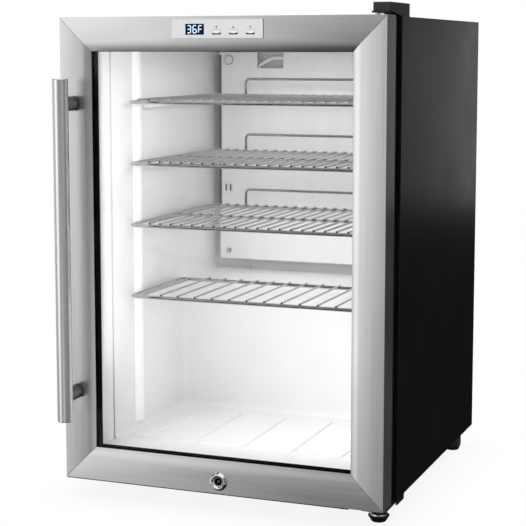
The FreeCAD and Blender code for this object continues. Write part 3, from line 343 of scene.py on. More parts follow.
X_AXIS, Y_AXIS, Z_AXIS = 0, 1, 2
MATERIALS = {
    "steel_upright": brushed("steel_upright", Z_AXIS),
    "steel_level": brushed("steel_level", X_AXIS, turn=0.25),
    "steel_bar": brushed("steel_bar", Z_AXIS, tone=0.66, roughness=0.27),
    # painted shade: the handle posts take a much darker copy of the brushed steel, for the side they turn to
    # the dark room
    "shaded_post_steel": brushed("shaded_post_steel", Y_AXIS, tone=0.22, roughness=0.34),
    "cabinet_paint": painted("cabinet_paint", (0.004, 0.004, 0.0042), 0.32),
    "machine_paint": painted("machine_paint", (0.012, 0.012, 0.013), 0.26, 0.10, 420.0),
    "hinge_paint": painted("hinge_paint", (0.014, 0.014, 0.014), 0.42, 0.12, 900.0),
    "liner_sheet": vacuum_formed("liner_sheet"),
    "plate_enamel": enamelled_plate("plate_enamel"),
    "black_plastic": moulded("black_plastic", (0.013, 0.013, 0.014), 0.40),
    # near-black without shine: the real glass spacer, and also the painted shade pieces (button wells, lock
    # notch and keyway, door's lower edge)
    "edge_black": moulded("edge_black", (0.002, 0.002, 0.002), 0.6, 0.05, Specular_IOR_Level=0.0),
    "grey_plastic": moulded("grey_plastic", (0.10, 0.10, 0.105), 0.45),
    "white_nylon": moulded("white_nylon", (0.80, 0.80, 0.77), 0.42, 0.06),
    "silver_plastic": moulded("silver_plastic", (0.60, 0.61, 0.62), 0.30, 0.05, 3000.0),
    "print_grey": moulded("print_grey", (0.10, 0.11, 0.12), 0.5, 0.02),
    # painted shade: the shelf chrome's tone is kept low so the wires read dark, standing in for the dark room
    # they mirror
    "shelf_chrome": plated("shelf_chrome", 0.48, 0.05),
    "lock_chrome": plated("lock_chrome", 0.86, 0.08),
    "lock_steel": plated("lock_steel", 0.16, 0.22),
    "zinc": plated("zinc", 0.62, 0.26, (1.0, 0.995, 0.97)),
    "galvanised": galvanised("galvanised"),
    "copper": copper("copper"),
    "rubber": rubber("rubber"),
    "foam": foam("foam"),
    "glass": clear_glass("glass"),
    "diffuser": diffuser("diffuser"),
    "digits": glowing("digits", (0.62, 0.80, 1.0), 1.6),
    "smoked_window": smoked_window("smoked_window"),
    "circuit_board": circuit_board("circuit_board"),
}

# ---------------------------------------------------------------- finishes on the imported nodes
FINISH = {
    "steel_upright": ["door_stile_left", "door_stile_right"],
    "steel_level": ["door_rail_top", "door_rail_bottom"],
    "steel_bar": ["handle_bar"],
    "shaded_post_steel": ["handle_posts"],
    "cabinet_paint": ["side_panel_left", "side_panel_right", "top_panel"],
    "machine_paint": ["compressor", "condenser"],
    "hinge_paint": ["upper_hinge_plate", "lower_hinge_bracket"],
    "liner_sheet": ["liner", "door_inner_trim"],
    "plate_enamel": ["evaporator_plate", "evaporator_tube"],
    "black_plastic": ["hinge_cover", "rear_feet", "cord_gland", "terminal_cover", "door_core"],
    "edge_black": ["glass_spacer"],
    "grey_plastic": ["drain_pan"],
    "white_nylon": ["evaporator_spacers", "sensor_clip", "hinge_bushes", "drain_tube", "lamp_strip"],
    "silver_plastic": ["control_bezel", "button_1", "button_2", "button_3"],
    "shelf_chrome": [f"shelf_{n}_deck" for n in (1, 2, 3, 4)] + [f"shelf_{n}_guard" for n in (1, 2, 3)],
    "lock_chrome": ["lock_body", "lock_plug"],
    "zinc": ["hinge_pins", "cabinet_screws", "lock_cam", "lock_strike",
             "front_foot_left", "front_foot_right"],
    "galvanised": ["back_panel", "base_pan"],
    "copper": ["filter_drier", "refrigerant_lines"],
    "rubber": ["compressor_grommets", "door_gasket"],
    "foam": ["insulation_foam"],
    "glass": ["glass_front", "glass_rear"],
    "diffuser": ["lamp_lens"],
    "smoked_window": ["display_window"],
    "circuit_board": ["control_board"],
}


def wear(piece, material_name):
    """Gives a piece one material."""
    piece.data.materials.clear()
    piece.data.materials.append(MATERIALS[material_name])


for material_name, names in FINISH.items():
    for node in names:
        wear(NODES[node], material_name)


def soften(node, width):
    """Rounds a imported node's sharp edges by modifiers: weld, merge flat faces, bevel, even out normals."""
    sharp, flat_within = math.radians(30.0), math.radians(0.6)
    piece = NODES[node]
    weld = piece.modifiers.new("weld", "WELD")
    weld.merge_threshold = 0.00001
    flat = piece.modifiers.new("flat", "DECIMATE")
    flat.decimate_type = "DISSOLVE"
    flat.angle_limit = flat_within
    bevel = piece.modifiers.new("bevel", "BEVEL")
    bevel.width = width
    bevel.segments = 2
    bevel.limit_method = "ANGLE"
    bevel.angle_limit = sharp
    bevel.harden_normals = True
    normals = piece.modifiers.new("normals", "WEIGHTED_NORMAL")
    normals.keep_sharp = False


EDGE_RADIUS = {
    0.0006: ["door_rail_top", "door_rail_bottom", "door_stile_left", "door_stile_right"],
    0.0007: ["side_panel_left", "side_panel_right", "top_panel"],
    0.0005: ["control_bezel", "hinge_cover", "lower_hinge_bracket", "upper_hinge_plate", "drain_pan"],
    0.0012: ["rear_feet", "terminal_cover"],
}
for radius, names in EDGE_RADIUS.items():
    for node in names:
        soften(node, radius)


# ---------------------------------------------------------------- mesh helpers
def keep(name, mesh, material_name, node=None, body=None, replaces=()):
    """Turns a bmesh into a piece with one material that rides on a node's body, hiding the nodes it replaces.
    """
    data = bpy.data.meshes.new(name)
    mesh.normal_update()
    mesh.to_mesh(data)
    mesh.free()
    piece = bpy.data.objects.new(name, data)
    bpy.context.scene.collection.objects.link(piece)
    wear(piece, material_name)
    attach(piece, body or BODY_OF[node])
    if replaces:
        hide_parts(*replaces)
    return piece


def smooth(piece, degrees=35.0):
    """Smooth shading that keeps edges sharper than the angle."""
    data = piece.data
    data.shade_smooth()
    data.set_sharp_from_angle(angle=math.radians(degrees))
    return piece


def upright(outline, low, high, mesh=None):
    """A flat (x, y) outline in metres, run from z = low to z = high."""
    mesh = mesh or bmesh.new()
    rows = [[mesh.verts.new((x, y, z)) for x, y in outline] for z in (low, high)]
    mesh.faces.new(list(reversed(rows[0])))
    mesh.faces.new(rows[1])
    for place in range(len(outline)):
        after = (place + 1) % len(outline)
        mesh.faces.new([rows[0][place], rows[0][after], rows[1][after], rows[1][place]])
    return mesh


def turned(profile, place, axis, mesh=None, steps=48):
    """Turns a (radius, along) profile in millimetres about an axis through a place in metres."""
    mesh = mesh or bmesh.new()
    spin = Vector((0, 0, 1)).rotation_difference(Vector(axis)).to_matrix()
    rings = []
    for radius, along in profile:
        if radius == 0:
            rings.append([mesh.verts.new(Vector(place) + spin @ Vector((0, 0, along * MM)))])
            continue
        ring = []
        for step in range(steps):
            angle = 2 * math.pi * step / steps
            local = Vector((radius * math.cos(angle), radius * math.sin(angle), along)) * MM
            ring.append(mesh.verts.new(Vector(place) + spin @ local))
        rings.append(ring)
    for first, second in zip(rings, rings[1:]):
        for step in range(steps):
            after = (step + 1) % steps
            corners = [first[step % len(first)], first[after % len(first)],
                       second[after % len(second)], second[step % len(second)]]
            unique = list(dict.fromkeys(corners))
            if len(unique) > 2:
                mesh.faces.new(unique)
    return mesh


def slab(outline, front, back, mesh=None):
    """A flat (x, z) outline in metres, run from y = front to y = back."""
    mesh = mesh or bmesh.new()
    faces = [[mesh.verts.new((x, y, z)) for x, z in outline] for y in (front, back)]
    mesh.faces.new(faces[0])
    mesh.faces.new(list(reversed(faces[1])))
    count = len(outline)
    for place in range(count):
        after = (place + 1) % count
        mesh.faces.new([faces[0][after], faces[0][place], faces[1][place], faces[1][after]])
    return mesh


def rectangle(left, bottom, right, top):
    """A rectangle's outline, anticlockwise from its lower left corner."""
    return [(left, bottom), (right, bottom), (right, top), (left, top)]


# ---------------------------------------------------------------- display digits and button marks
DIGIT_WIDE, DIGIT_HIGH, DIGIT_STEP = 4.4 * MM, 8.8 * MM, 7.4 * MM
SEGMENT_HALF, SEGMENT_GAP = 0.58 * MM, 0.14 * MM
SLANT = 0.03
WINDOW_LOW, WINDOW_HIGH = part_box("display_window")
DIGITS_LEVEL = (WINDOW_LOW.z + WINDOW_HIGH.z) / 2
LIT = {"3": "ABGCD", "6": "AFGECD", "F": "AFGE"}


def segment(mesh, x, z, across, length, front, back):
    """A six-sided bar centred at (x, z), level or upright, leaning with the digit."""
    reach = length / 2 - SEGMENT_GAP
    points = [(-reach, 0), (-reach + SEGMENT_HALF, -SEGMENT_HALF), (reach - SEGMENT_HALF, -SEGMENT_HALF),
              (reach, 0), (reach - SEGMENT_HALF, SEGMENT_HALF), (-reach + SEGMENT_HALF, SEGMENT_HALF)]
    if not across:
        points = [(-b, a) for a, b in points]
    slab([(x + a + SLANT * (z + b - DIGITS_LEVEL), z + b) for a, b in points], front, back, mesh)


def display_digits():
    """Lit seven-segment digits, standing just proud of the window."""
    proud, sunk = 0.12 * MM, 0.05 * MM
    middle_x = (WINDOW_LOW.x + WINDOW_HIGH.x) / 2
    front, back = WINDOW_LOW.y - proud, WINDOW_LOW.y + sunk
    bars = {
        "A": (0, DIGIT_HIGH / 2, True), "G": (0, 0, True), "D": (0, -DIGIT_HIGH / 2, True),
        "F": (-DIGIT_WIDE / 2, DIGIT_HIGH / 4, False), "B": (DIGIT_WIDE / 2, DIGIT_HIGH / 4, False),
        "E": (-DIGIT_WIDE / 2, -DIGIT_HIGH / 4, False), "C": (DIGIT_WIDE / 2, -DIGIT_HIGH / 4, False),
    }
    mesh = bmesh.new()
    for place, sign in enumerate("36F"):
        for bar in LIT[sign]:
            x, z, across = bars[bar]
            length = DIGIT_WIDE if across else DIGIT_HIGH / 2
            centre_x = middle_x + (place - 1) * DIGIT_STEP + x
            segment(mesh, centre_x, DIGITS_LEVEL + z, across, length, front, back)
    keep("display_digits", mesh, "digits", "display_window")


def button_marks():
    """Small printed marks above the buttons: a lamp, an up arrow and a down arrow."""
    bezel_low, bezel_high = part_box("control_bezel")
    proud, sunk, half, rise, bulb_steps = 0.03 * MM, 0.02 * MM, 1.45 * MM, 0.18, 20
    front, back = bezel_low.y - proud, bezel_low.y + sunk
    mesh = bmesh.new()
    for number in (1, 2, 3):
        low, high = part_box(f"button_{number}")
        x = (low.x + high.x) / 2
        z = high.z + (bezel_high.z - high.z) * rise
        if number == 1:
            turns = [2 * math.pi * step / bulb_steps for step in range(bulb_steps)]
            bulb = [(x + half * 0.8 * math.cos(turn), z + half * 0.25 + half * 0.8 * math.sin(turn))
                    for turn in turns]
            slab(bulb, front, back, mesh)
            cap = rectangle(x - half * 0.4, z - half * 1.1, x + half * 0.4, z - half * 0.7)
            slab(cap, front, back, mesh)
        else:
            way = 1 if number == 2 else -1
            arrow = [(x - half, z - way * half * 0.8), (x + half, z - way * half * 0.8), (x, z + way * half)]
            slab(arrow[::way], front, back, mesh)
    keep("button_marks", mesh, "print_grey", "control_bezel")


def button_cap(number):
    """A rocker-shaped cap, flush along its top edge and proud along its lower lip, in a near-black collar
    that is painted shade: it shows in the gap round the cap as the shadow under the lip.
    """
    node = f"button_{number}"
    low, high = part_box(node)
    stroke_face, behind_face = 2.6 * MM, 3.0 * MM
    half_wide, top, lip, lip_lift = 5.5 * MM, 2.9 * MM, -1.7 * MM, 1.4 * MM
    flush, swell, across, up = 1.62, 0.98, 24, 12
    x, z, face = (low.x + high.x) / 2, (low.z + high.z) / 2, low.y + stroke_face
    mesh = bmesh.new()
    rows = []
    for step in range(up + 1):
        v = step / up
        row = []
        for side in range(across + 1):
            u = 2 * side / across - 1
            bottom = lip + lip_lift * abs(u) ** 3
            proud = (flush + swell * (1 - v) ** 2 * (1 - 0.5 * abs(u) ** 4)) * MM
            row.append(mesh.verts.new((x + half_wide * u, face - proud, z + bottom + (top - bottom) * v)))
        rows.append(row)
    for lower, upper in zip(rows, rows[1:]):
        for side in range(across):
            mesh.faces.new([lower[side], lower[side + 1], upper[side + 1], upper[side]])
    right_side = [row[-1] for row in rows[1:-1]]
    left_side = [row[0] for row in rows[-2:0:-1]]
    rim = rows[0] + right_side + list(reversed(rows[-1])) + left_side
    behind = [mesh.verts.new((vert.co.x, face + behind_face, vert.co.z)) for vert in rim]
    for place in range(len(rim)):
        after = (place + 1) % len(rim)
        mesh.faces.new([rim[after], rim[place], behind[place], behind[after]])
    mesh.faces.new(behind)
    bmesh.ops.recalc_face_normals(mesh, faces=mesh.faces)
    smooth(keep(f"button_cap_{number}", mesh, "silver_plastic", node, replaces=[node]), 40)
    # painted shade: a near-black collar behind the cap, seen in the gap round it
    shade_collar_half, shade_collar_high, shade_collar_front, shade_collar_back = 5.58 * MM, 2.98 * MM, 1.0 * MM, 2.0 * MM
    outline = rectangle(x - shade_collar_half, z - shade_collar_high, x + shade_collar_half, z + shade_collar_high)
    shade_collar = slab(outline, face - shade_collar_front, face + shade_collar_back)
    keep(f"button_shade_collar_{number}", shade_collar, "edge_black", node)


display_digits()
button_marks()
for number in (1, 2, 3):
    button_cap(number)


# ---------------------------------------------------------------- lock
def lock_pieces():
    """Tubular cam lock: coned lip with a near-black block as painted shade for a key notch, a dished face,
    and a plug with a ring-shaped keyway whose near-black ring is painted shade.
    """
    low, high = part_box("lock_body")
    bezel_high = 4.6 * MM
    centre = Vector(((low.x + high.x) / 2, low.y + bezel_high, (low.z + high.z) / 2))
    front = (0, -1, 0)
    bore, barrel, tail, lip, lip_high, rim, rim_high = 5.56, 9.4, -49.4, 11.7, 0.9, 9.3, 4.1
    body = [(barrel, tail), (barrel, 0.0), (11.8, 0.0), (lip, lip_high), (11.62, 1.0), (9.38, 3.99),
            (rim, rim_high), (9.0, 4.4), (8.6, 4.55), (8.2, 4.45), (7.9, 4.1), (7.8, 3.98),
            (6.2, 2.02), (6.1, 1.9), (5.8, 1.7), (bore, 1.65), (bore, tail), (barrel, tail)]
    face = turned(body, centre, front)
    smooth(keep("lock_face", face, "lock_chrome", "lock_body", replaces=["lock_body"]), 50)
    # painted shade: a near-black block set into the lip stands for the dark inside of the key notch
    mesh = bmesh.new()
    corners = []
    for proud, lift in ((0.10, 0.06), (-0.8, 0)):
        for radius, height, half in ((lip, lip_high, 1.3), (rim - 0.6, rim_high + 0.35, 0.5)):
            for side in (-half, half):
                corners.append(mesh.verts.new((centre.x + side * MM, centre.y - (height + proud) * MM,
                                               centre.z + (radius + lift) * MM)))
    for face in ((0, 1, 3, 2), (4, 6, 7, 5), (0, 4, 5, 1), (1, 5, 7, 3), (3, 7, 6, 2), (2, 6, 4, 0)):
        mesh.faces.new([corners[place] for place in face])
    bmesh.ops.recalc_face_normals(mesh, faces=mesh.faces)
    keep("lock_notch_shade", mesh, "edge_black", "lock_body")
    plug = [(0, -55), (3.5, -55), (3.5, -50), (5.5, -50), (5.5, 0.9), (5.3, 1.2), (4.9, 1.3), (4.6, 1.0),
            (4.5, -5.0), (1.9, -5.0), (1.9, -0.4), (1.6, 0.0), (0, 0.0)]
    barrel_mesh = turned(plug, centre, front)
    smooth(keep("lock_barrel", barrel_mesh, "lock_steel", "lock_plug", replaces=["lock_plug"]), 40)
    # painted shade: a near-black ring set into the keyway groove darkens it
    key_in, key_out, key_top, key_floor = 1.92, 4.48, -0.6, -1.4
    shadow = [(key_in, key_top), (key_out, key_top), (key_out, key_floor), (key_in, key_floor),
              (key_in, key_top)]
    keep("lock_keyway_shade", turned(shadow, centre, front), "edge_black", "lock_plug")


lock_pieces()


# ---------------------------------------------------------------- front feet
def front_foot(side):
    """Black cup foot, bright swaged flange and a threaded stud."""
    node = f"front_foot_{side}"
    low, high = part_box(node)
    place = ((low.x + high.x) / 2, (low.y + high.y) / 2, low.z)
    cup = [(0, 0), (8.2, 0), (8.9, 0.3), (9.3, 0.9), (12.9, 6.4), (13.4, 7.3), (13.45, 8.0), (13.1, 8.5),
           (12.3, 8.6), (11.4, 8.55), (11.4, 7.6), (0, 7.6)]
    smooth(keep(f"foot_cup_{side}", turned(cup, place, (0, 0, 1)), "black_plastic", node, replaces=[node]))
    flange = [(0, 7.7), (11.25, 7.7), (11.25, 9.9), (10.9, 10.5), (10.2, 10.8), (6.4, 10.8), (5.6, 11.3),
              (4.3, 11.6), (0, 11.6)]
    smooth(keep(f"foot_flange_{side}", turned(flange, place, (0, 0, 1)), "zinc", node, replaces=[node]))
    pitch, root, crest, stud_foot, first_turn, run_out = 1.25, 3.45, 3.98, 11.4, 11.6, 12.0
    top = (high.z - low.z) / MM
    thread = [(0, stud_foot), (root, stud_foot)]
    for turn in range(int((top - run_out) / pitch)):
        start = first_turn + turn * pitch
        thread += [(root, start), (crest, start + pitch * 0.5), (root, start + pitch * 0.95)]
    thread += [(root, top - 0.3), (root - 0.4, top), (0, top)]
    stud = turned(thread, place, (0, 0, 1), steps=32)
    smooth(keep(f"foot_stud_{side}", stud, "zinc", node, replaces=[node]), 20)


front_foot("left")
front_foot("right")


# ---------------------------------------------------------------- gasket
def bellows_gasket():
    """Extruded door gasket with mitred welds: snap base, bellows folds and a rounded magnet lip."""
    low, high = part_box("door_gasket")
    wall, bottom_wall, depth = 9.0 * MM, 8.0 * MM, high.y - low.y
    section = [
        (0.00, 0.00), (0.00, 0.16), (0.05, 0.22), (0.16, 0.27), (0.20, 0.33), (0.10, 0.40), (0.08, 0.46),
        (0.20, 0.53), (0.22, 0.59), (0.06, 0.66), (0.02, 0.74), (0.00, 0.86), (0.05, 0.95), (0.14, 1.00),
        (0.50, 0.985), (0.86, 1.00), (0.95, 0.95), (1.00, 0.86), (0.98, 0.74), (0.94, 0.66), (0.78, 0.59),
        (0.80, 0.53), (0.92, 0.46), (0.90, 0.40), (0.80, 0.33), (0.84, 0.27), (0.95, 0.22), (1.00, 0.16),
        (1.00, 0.00),
    ]
    mesh = bmesh.new()
    loops = []
    for across, back in section:
        side, bottom, y = across * wall, across * bottom_wall, low.y + back * depth
        loops.append([mesh.verts.new(corner) for corner in (
            (low.x + side, y, low.z + bottom), (high.x - side, y, low.z + bottom),
            (high.x - side, y, high.z - side), (low.x + side, y, high.z - side))])
    for first, second in zip(loops, loops[1:] + loops[:1]):
        for corner in range(4):
            after = (corner + 1) % 4
            mesh.faces.new([first[corner], first[after], second[after], second[corner]])
    bmesh.ops.recalc_face_normals(mesh, faces=mesh.faces)
    smooth(keep("gasket_bellows", mesh, "rubber", "door_gasket", replaces=["door_gasket"]), 60)


bellows_gasket()


# ---------------------------------------------------------------- evaporator plate details, with painted shade at the plate edge, the sensor slots and the door's lower edge
SPACER_HALF = 5.5 * MM


def plate_edge_shade():
    """Grey channel over the evaporator plate's left edge: its dark grey is painted shade for the shadowed gap
    between the plate and the side wall.
    """
    low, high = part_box("evaporator_plate")
    over, behind, lap, gap, sheet = 2.3 * MM, 2.0 * MM, 2.4 * MM, 0.15 * MM, 0.8 * MM
    plate_thick, below_top, length_end = 1.6 * MM, 4.0 * MM, 232.0 * MM
    round_off, corner = 0.7 * MM, 0.3 * MM
    front, back = low.y - gap - sheet, low.y + plate_thick + gap + sheet
    outer, inner = low.x - over, low.x + lap
    outline = [
        (outer + round_off, front), (inner - corner, front), (inner, front + corner), (inner, low.y - gap),
        (low.x - gap, low.y - gap), (low.x - gap, back - sheet), (inner - behind, back - sheet),
        (inner - behind, back), (outer + round_off, back), (outer, back - round_off),
        (outer, front + round_off),
    ]
    guard = upright(outline, high.z - length_end, high.z - below_top)
    smooth(keep("plate_edge_shade", guard, "grey_plastic", "evaporator_spacers"), 30)


def sensor_slot_shades():
    """Two near-black bars in the temperature sensor clip's slots: painted shade for the slots' dark insides.
    """
    low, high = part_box("sensor_clip")
    x, z = (low.x + high.x) / 2, (low.z + high.z) / 2
    apart, half, reach, proud, deep = 3.6 * MM, 1.05 * MM, 4.9 * MM, 0.3 * MM, 1.3 * MM
    mesh = bmesh.new()
    for side in (-apart, apart):
        slot_shade = rectangle(x + side - half, z - reach, x + side + half, z + reach)
        slab(slot_shade, low.y - proud, low.y + deep, mesh)
    keep("sensor_slot_shades", mesh, "black_plastic", "sensor_clip")


def screw_cap():
    """White push-on cap over the plate's upper left screw."""
    plate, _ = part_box("evaporator_plate")
    low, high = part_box("evaporator_spacers")
    place = (low.x + SPACER_HALF, plate.y, high.z - SPACER_HALF)
    cap = [(0, 4.6), (2.4, 4.5), (4.6, 4.0), (6.0, 3.0), (6.7, 1.6), (6.9, 0.1), (5.9, 0.1), (5.2, 1.8),
           (3.4, 2.8), (0, 3.0)]
    smooth(keep("screw_cap", turned(cap, place, (0, -1, 0)), "white_nylon", "evaporator_spacers"))
    washer = [(5.0, 0.1), (7.5, 0.1), (7.5, 0.6), (7.3, 0.8), (5.0, 0.8), (5.0, 0.1)]
    smooth(keep("screw_cap_washer", turned(washer, place, (0, -1, 0)), "grey_plastic", "evaporator_spacers"))


def door_edge_shade():
    """Near-black strip under the door's lower edge, clear of the hinge bracket: painted shade for the dark
    line along that edge.
    """
    low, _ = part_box("door_rail_bottom")
    under, front, back, end, bracket_side = 1.1 * MM, 0.25 * MM, 3.0 * MM, 1.0 * MM, 172.0 * MM
    outline = rectangle(low.x + end, low.z - under, bracket_side, low.z)
    keep("door_edge_shade", slab(outline, low.y + front, low.y + back), "edge_black", "door_core")


plate_edge_shade()
sensor_slot_shades()
screw_cap()
door_edge_shade()


# ---------------------------------------------------------------- screws
def screw_head(radius, height):
    """A pan head in millimetres with a cross recess, standing on the plane z = 0."""
    dome = [(0, 0), (radius, 0), (radius, height * 0.45), (radius * 0.93, height * 0.72),
            (radius * 0.75, height * 0.92), (radius * 0.45, height), (0, height)]
    head = bpy.data.meshes.new("screw_head")
    turned(dome, (0, 0, 0), (0, 0, 1), steps=32).to_mesh(head)
    body = bpy.data.objects.new("screw_head", head)
    cutter_mesh = bmesh.new()
    long, short = radius * 0.62 * MM, radius * 0.15 * MM
    arms = [(short, long), (-short, long), (-short, short), (-long, short), (-long, -short), (-short, -short),
            (-short, -long), (short, -long), (short, -short), (long, -short), (long, short), (short, short)]
    rows = [[cutter_mesh.verts.new((x * taper, y * taper, z)) for x, y in arms]
            for z, taper in ((height * 0.35 * MM, 0.55), (height * 1.2 * MM, 1.1))]
    cutter_mesh.faces.new(list(reversed(rows[0])))
    cutter_mesh.faces.new(rows[1])
    for place in range(len(arms)):
        after = (place + 1) % len(arms)
        cutter_mesh.faces.new([rows[0][place], rows[0][after], rows[1][after], rows[1][place]])
    bmesh.ops.recalc_face_normals(cutter_mesh, faces=cutter_mesh.faces)
    cutter_data = bpy.data.meshes.new("cross")
    cutter_mesh.to_mesh(cutter_data)
    cutter = bpy.data.objects.new("cross", cutter_data)
    for made in (body, cutter):
        bpy.context.scene.collection.objects.link(made)
    cut = body.modifiers.new("cross", "BOOLEAN")
    cut.object = cutter
    cut.operation = "DIFFERENCE"
    cut.solver = "EXACT"
    graph = bpy.context.evaluated_depsgraph_get()
    result = bpy.data.meshes.new_from_object(body.evaluated_get(graph))
    for made in (body, cutter):
        bpy.data.objects.remove(made)
    return result


def screws(name, head, shank, places, axis, node=None, body=None, replaces=(), length=3.0):
    """Copies of a screw head at places, turned to face along the axis, each with its shank behind it."""
    mesh = bmesh.new()
    facing = Vector((0, 0, 1)).rotation_difference(Vector(axis)).to_matrix().to_4x4()
    for number, place in enumerate(places):
        twist = Matrix.Rotation(math.radians(37 * number), 4, "Z")
        one = head.copy()
        one.transform(Matrix.Translation(Vector(place)) @ facing @ twist)
        mesh.from_mesh(one)
        shaft = [(0, 0.05), (shank, 0.05), (shank, -length), (0, -length - shank * 0.5)]
        turned(shaft, place, axis, mesh, steps=20)
    return smooth(keep(name, mesh, "zinc", node, body, replaces), 30)


def cabinet_fasteners():
    """Screws of the evaporator plate and of both hinges; returns the plate's screw head."""
    plate_low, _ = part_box("evaporator_plate")
    spacer_low, spacer_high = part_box("evaporator_spacers")
    plate_head = screw_head(4.2, 1.76)
    hinge_head = screw_head(4.5, 2.6)
    plate_places = [(x, plate_low.y, z)
                    for x in (spacer_low.x + SPACER_HALF, spacer_high.x - SPACER_HALF)
                    for z in (spacer_low.z + SPACER_HALF, spacer_high.z - SPACER_HALF)]
    screws("plate_screws", plate_head, 1.55, plate_places, (0, -1, 0), "cabinet_screws",
           replaces=["cabinet_screws"], length=13.0)
    handle_reach, hinge_plate, bracket_gap = 46.0 * MM, 2.5 * MM, 0.4 * MM
    upper_x, lower_x = 203.0 * MM, 198.0 * MM
    face = CAD_BOX[0][1] + handle_reach
    upper_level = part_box("top_panel")[1].z + hinge_plate
    lower_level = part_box("lock_strike")[0].z - bracket_gap
    upper = [(upper_x, face + depth * MM, upper_level) for depth in (78.0, 88.0)]
    lower = [(lower_x, face + depth * MM, lower_level) for depth in (78.0, 94.0)]
    for name, places, axis in (("hinge_screws_upper", upper, (0, 0, 1)),
                               ("hinge_screws_lower", lower, (0, 0, -1))):
        screws(name, hinge_head, 2.35, places, axis, "cabinet_screws", replaces=["cabinet_screws"])
    return plate_head


plate_head = cabinet_fasteners()


def back_fasteners():
    """Screws down both sides and along the top of the back panel."""
    low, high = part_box("back_panel")
    edge, top_step, gaps = 9.0 * MM, 90.0 * MM, 4
    left, right = low.x + edge, high.x - edge
    heights = [low.z + edge + (high.z - low.z - 2 * edge) * step / gaps for step in range(gaps + 1)]
    places = [(x, high.y, z) for x in (left, right) for z in heights]
    places += [(x, high.y, high.z - edge) for x in (-top_step, 0.0, top_step)]
    screws("back_panel_screws", plate_head, 1.5, places, (0, 1, 0), body="cabinet", length=6.0)


back_fasteners()


# ---------------------------------------------------------------- studio
FLOOR_SIZE, SHADE_REACH, DEEPEST_SHADE = 14.0, 0.07, 0.88


def studio_floor():
    """Pale seamless floor with a soft shade where the cabinet stands; mirrors see past it."""
    mesh = bmesh.new()
    bmesh.ops.create_grid(mesh, x_segments=8, y_segments=8, size=FLOOR_SIZE / 2)
    data = bpy.data.meshes.new("studio_floor")
    mesh.to_mesh(data)
    mesh.free()
    floor = bpy.data.objects.new("studio_floor", data)
    bpy.context.scene.collection.objects.link(floor)
    material = bpy.data.materials.new("studio_floor")
    material.use_nodes = True
    tree = material.node_tree
    tree.nodes.clear()
    output = tree.nodes.new("ShaderNodeOutputMaterial")
    rays = tree.nodes.new("ShaderNodeLightPath")
    shade = tree.nodes.new("ShaderNodeAmbientOcclusion")
    ramp = tree.nodes.new("ShaderNodeMapRange")
    pale = tree.nodes.new("ShaderNodeEmission")
    card = tree.nodes.new("ShaderNodeBsdfDiffuse")
    gone = tree.nodes.new("ShaderNodeBsdfTransparent")
    mirrors = tree.nodes.new("ShaderNodeMixShader")
    eye = tree.nodes.new("ShaderNodeMixShader")
    shade.inputs["Distance"].default_value = SHADE_REACH
    ramp.inputs["To Min"].default_value = DEEPEST_SHADE
    card.inputs["Color"].default_value = (0.5, 0.5, 0.5, 1)
    tree.links.new(shade.outputs["AO"], ramp.inputs["Value"])
    tree.links.new(ramp.outputs["Result"], pale.inputs["Color"])
    tree.links.new(rays.outputs["Is Glossy Ray"], mirrors.inputs["Fac"])
    tree.links.new(card.outputs[0], mirrors.inputs[1])
    tree.links.new(gone.outputs[0], mirrors.inputs[2])
    tree.links.new(rays.outputs["Is Camera Ray"], eye.inputs["Fac"])
    tree.links.new(mirrors.outputs[0], eye.inputs[1])
    tree.links.new(pale.outputs[0], eye.inputs[2])
    tree.links.new(eye.outputs[0], output.inputs["Surface"])
    data.materials.append(material)


def softbox(name, place, target, size, power, seen_in_mirrors=True):
    """A rectangular soft light that the camera doesn't see."""
    data = bpy.data.lights.new(name, "AREA")
    data.shape = "RECTANGLE"
    data.size, data.size_y = size
    data.energy = power
    light = bpy.data.objects.new(name, data)
    bpy.context.scene.collection.objects.link(light)
    light.location = place
    light.rotation_euler = (Vector(target) - Vector(place)).to_track_quat("-Z", "Y").to_euler()
    light.visible_glossy = seen_in_mirrors
    light.visible_camera = False


# Soft patches of studio light: direction, how close to it the glow starts and is full (cosines), strength.
STUDIO_GLOW = [
    ((-0.67, -0.74, 0.09), 0.86, 0.985, 1.60),
    ((0.10, -0.98, 0.05), 0.86, 1.00, 0.30),
    ((0.82, -0.57, 0.10), 0.86, 0.99, 0.60),
    ((0.0, -0.10, 1.0), 0.30, 0.95, 1.00),
    ((-0.62, -0.74, -0.27), 0.92, 1.00, 0.60),
    ((0.27, -0.93, -0.30), 0.965, 1.00, 1.20),
    ((-0.98, 0.10, 0.0), 0.90, 0.99, 0.90),
    ((0.20, 0.95, 0.30), 0.90, 1.00, 0.12),
    ((0.95, 0.25, -0.30), 0.90, 0.98, 0.60),
    ((-0.60, 0.78, -0.15), 0.85, 0.98, 0.90),
    ((0.0, 0.80, 0.60), 0.82, 1.00, 0.50),
]
STUDIO_DIM = 0.016      # light from everywhere else


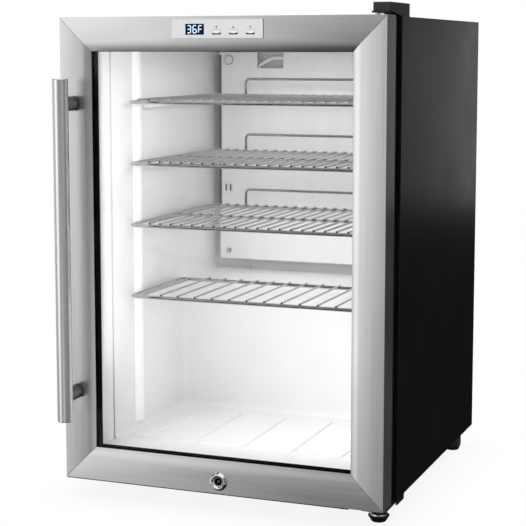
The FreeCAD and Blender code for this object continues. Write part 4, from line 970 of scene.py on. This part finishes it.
def surroundings():
    """White backdrop to the eye; to everything else, a dim room with soft patches of light."""
    world = bpy.data.worlds.new("studio")
    bpy.context.scene.world = world
    world.use_nodes = True
    tree = world.node_tree
    tree.nodes.clear()
    output = tree.nodes.new("ShaderNodeOutputWorld")
    mix = tree.nodes.new("ShaderNodeMixShader")
    rays = tree.nodes.new("ShaderNodeLightPath")
    seen = tree.nodes.new("ShaderNodeBackground")
    room = tree.nodes.new("ShaderNodeBackground")
    way = tree.nodes.new("ShaderNodeTexCoord").outputs["Generated"]
    seen.inputs["Color"].default_value = (1, 1, 1, 1)
    total = None
    for direction, start, full, strength in STUDIO_GLOW:
        near = tree.nodes.new("ShaderNodeVectorMath")
        near.operation = "DOT_PRODUCT"
        near.inputs[1].default_value = Vector(direction).normalized()
        tree.links.new(way, near.inputs[0])
        glow = tree.nodes.new("ShaderNodeMapRange")
        glow.interpolation_type = "SMOOTHSTEP"
        for socket, value in (("From Min", start), ("From Max", full), ("To Max", strength)):
            glow.inputs[socket].default_value = value
        tree.links.new(near.outputs["Value"], glow.inputs["Value"])
        add = tree.nodes.new("ShaderNodeMath")
        add.inputs[1].default_value = STUDIO_DIM
        if total is not None:
            tree.links.new(total, add.inputs[1])
        tree.links.new(glow.outputs["Result"], add.inputs[0])
        total = add.outputs["Value"]
    tree.links.new(total, room.inputs["Color"])
    tree.links.new(rays.outputs["Is Camera Ray"], mix.inputs["Fac"])
    tree.links.new(room.outputs[0], mix.inputs[1])
    tree.links.new(seen.outputs[0], mix.inputs[2])
    tree.links.new(mix.outputs[0], output.inputs["Surface"])


studio_floor()
surroundings()
softbox("key", (-1.1, -1.9, 2.0), (0.0, -0.2, 0.35), (1.6, 1.2), 50.0, False)
softbox("rear_glow", (0.265, 1.35, 0.46), (0.25, 0.3, 0.46), (0.34, 0.44), 0.58)
softbox("cavity_light", (0.0, -0.184, 0.385), (0.0, 0.2, 0.385), (0.33, 0.42), 0.73, False)
softbox("ceiling_light", (0.0, -0.01, 0.578), (0.0, -0.01, 0.0), (0.12, 0.20), 0.36, False)
softbox("back_fill", (-0.7, 2.4, 1.3), (0.0, 0.25, 0.3), (1.4, 1.2), 26.0, False)
softbox("step_light", (0.0, 0.13, 0.335), (0.0, 0.14, 0.25), (0.26, 0.05), 0.05, False)

CAMERA_PLACE, CAMERA_DOWN, CAMERA_TURN = (0.7081, -1.8797, 0.5815), 6.753, 21.2

camera_data = bpy.data.cameras.new("camera")
camera = bpy.data.objects.new("camera", camera_data)
bpy.context.scene.collection.objects.link(camera)
camera.location = CAMERA_PLACE
camera.rotation_euler = (math.radians(90 - CAMERA_DOWN), 0, math.radians(CAMERA_TURN))
camera_data.lens = 101.2
camera_data.sensor_width = 36.0
camera_data.shift_y = -0.07
bpy.context.scene.camera = camera
bpy.context.scene.view_settings.view_transform = "Standard"
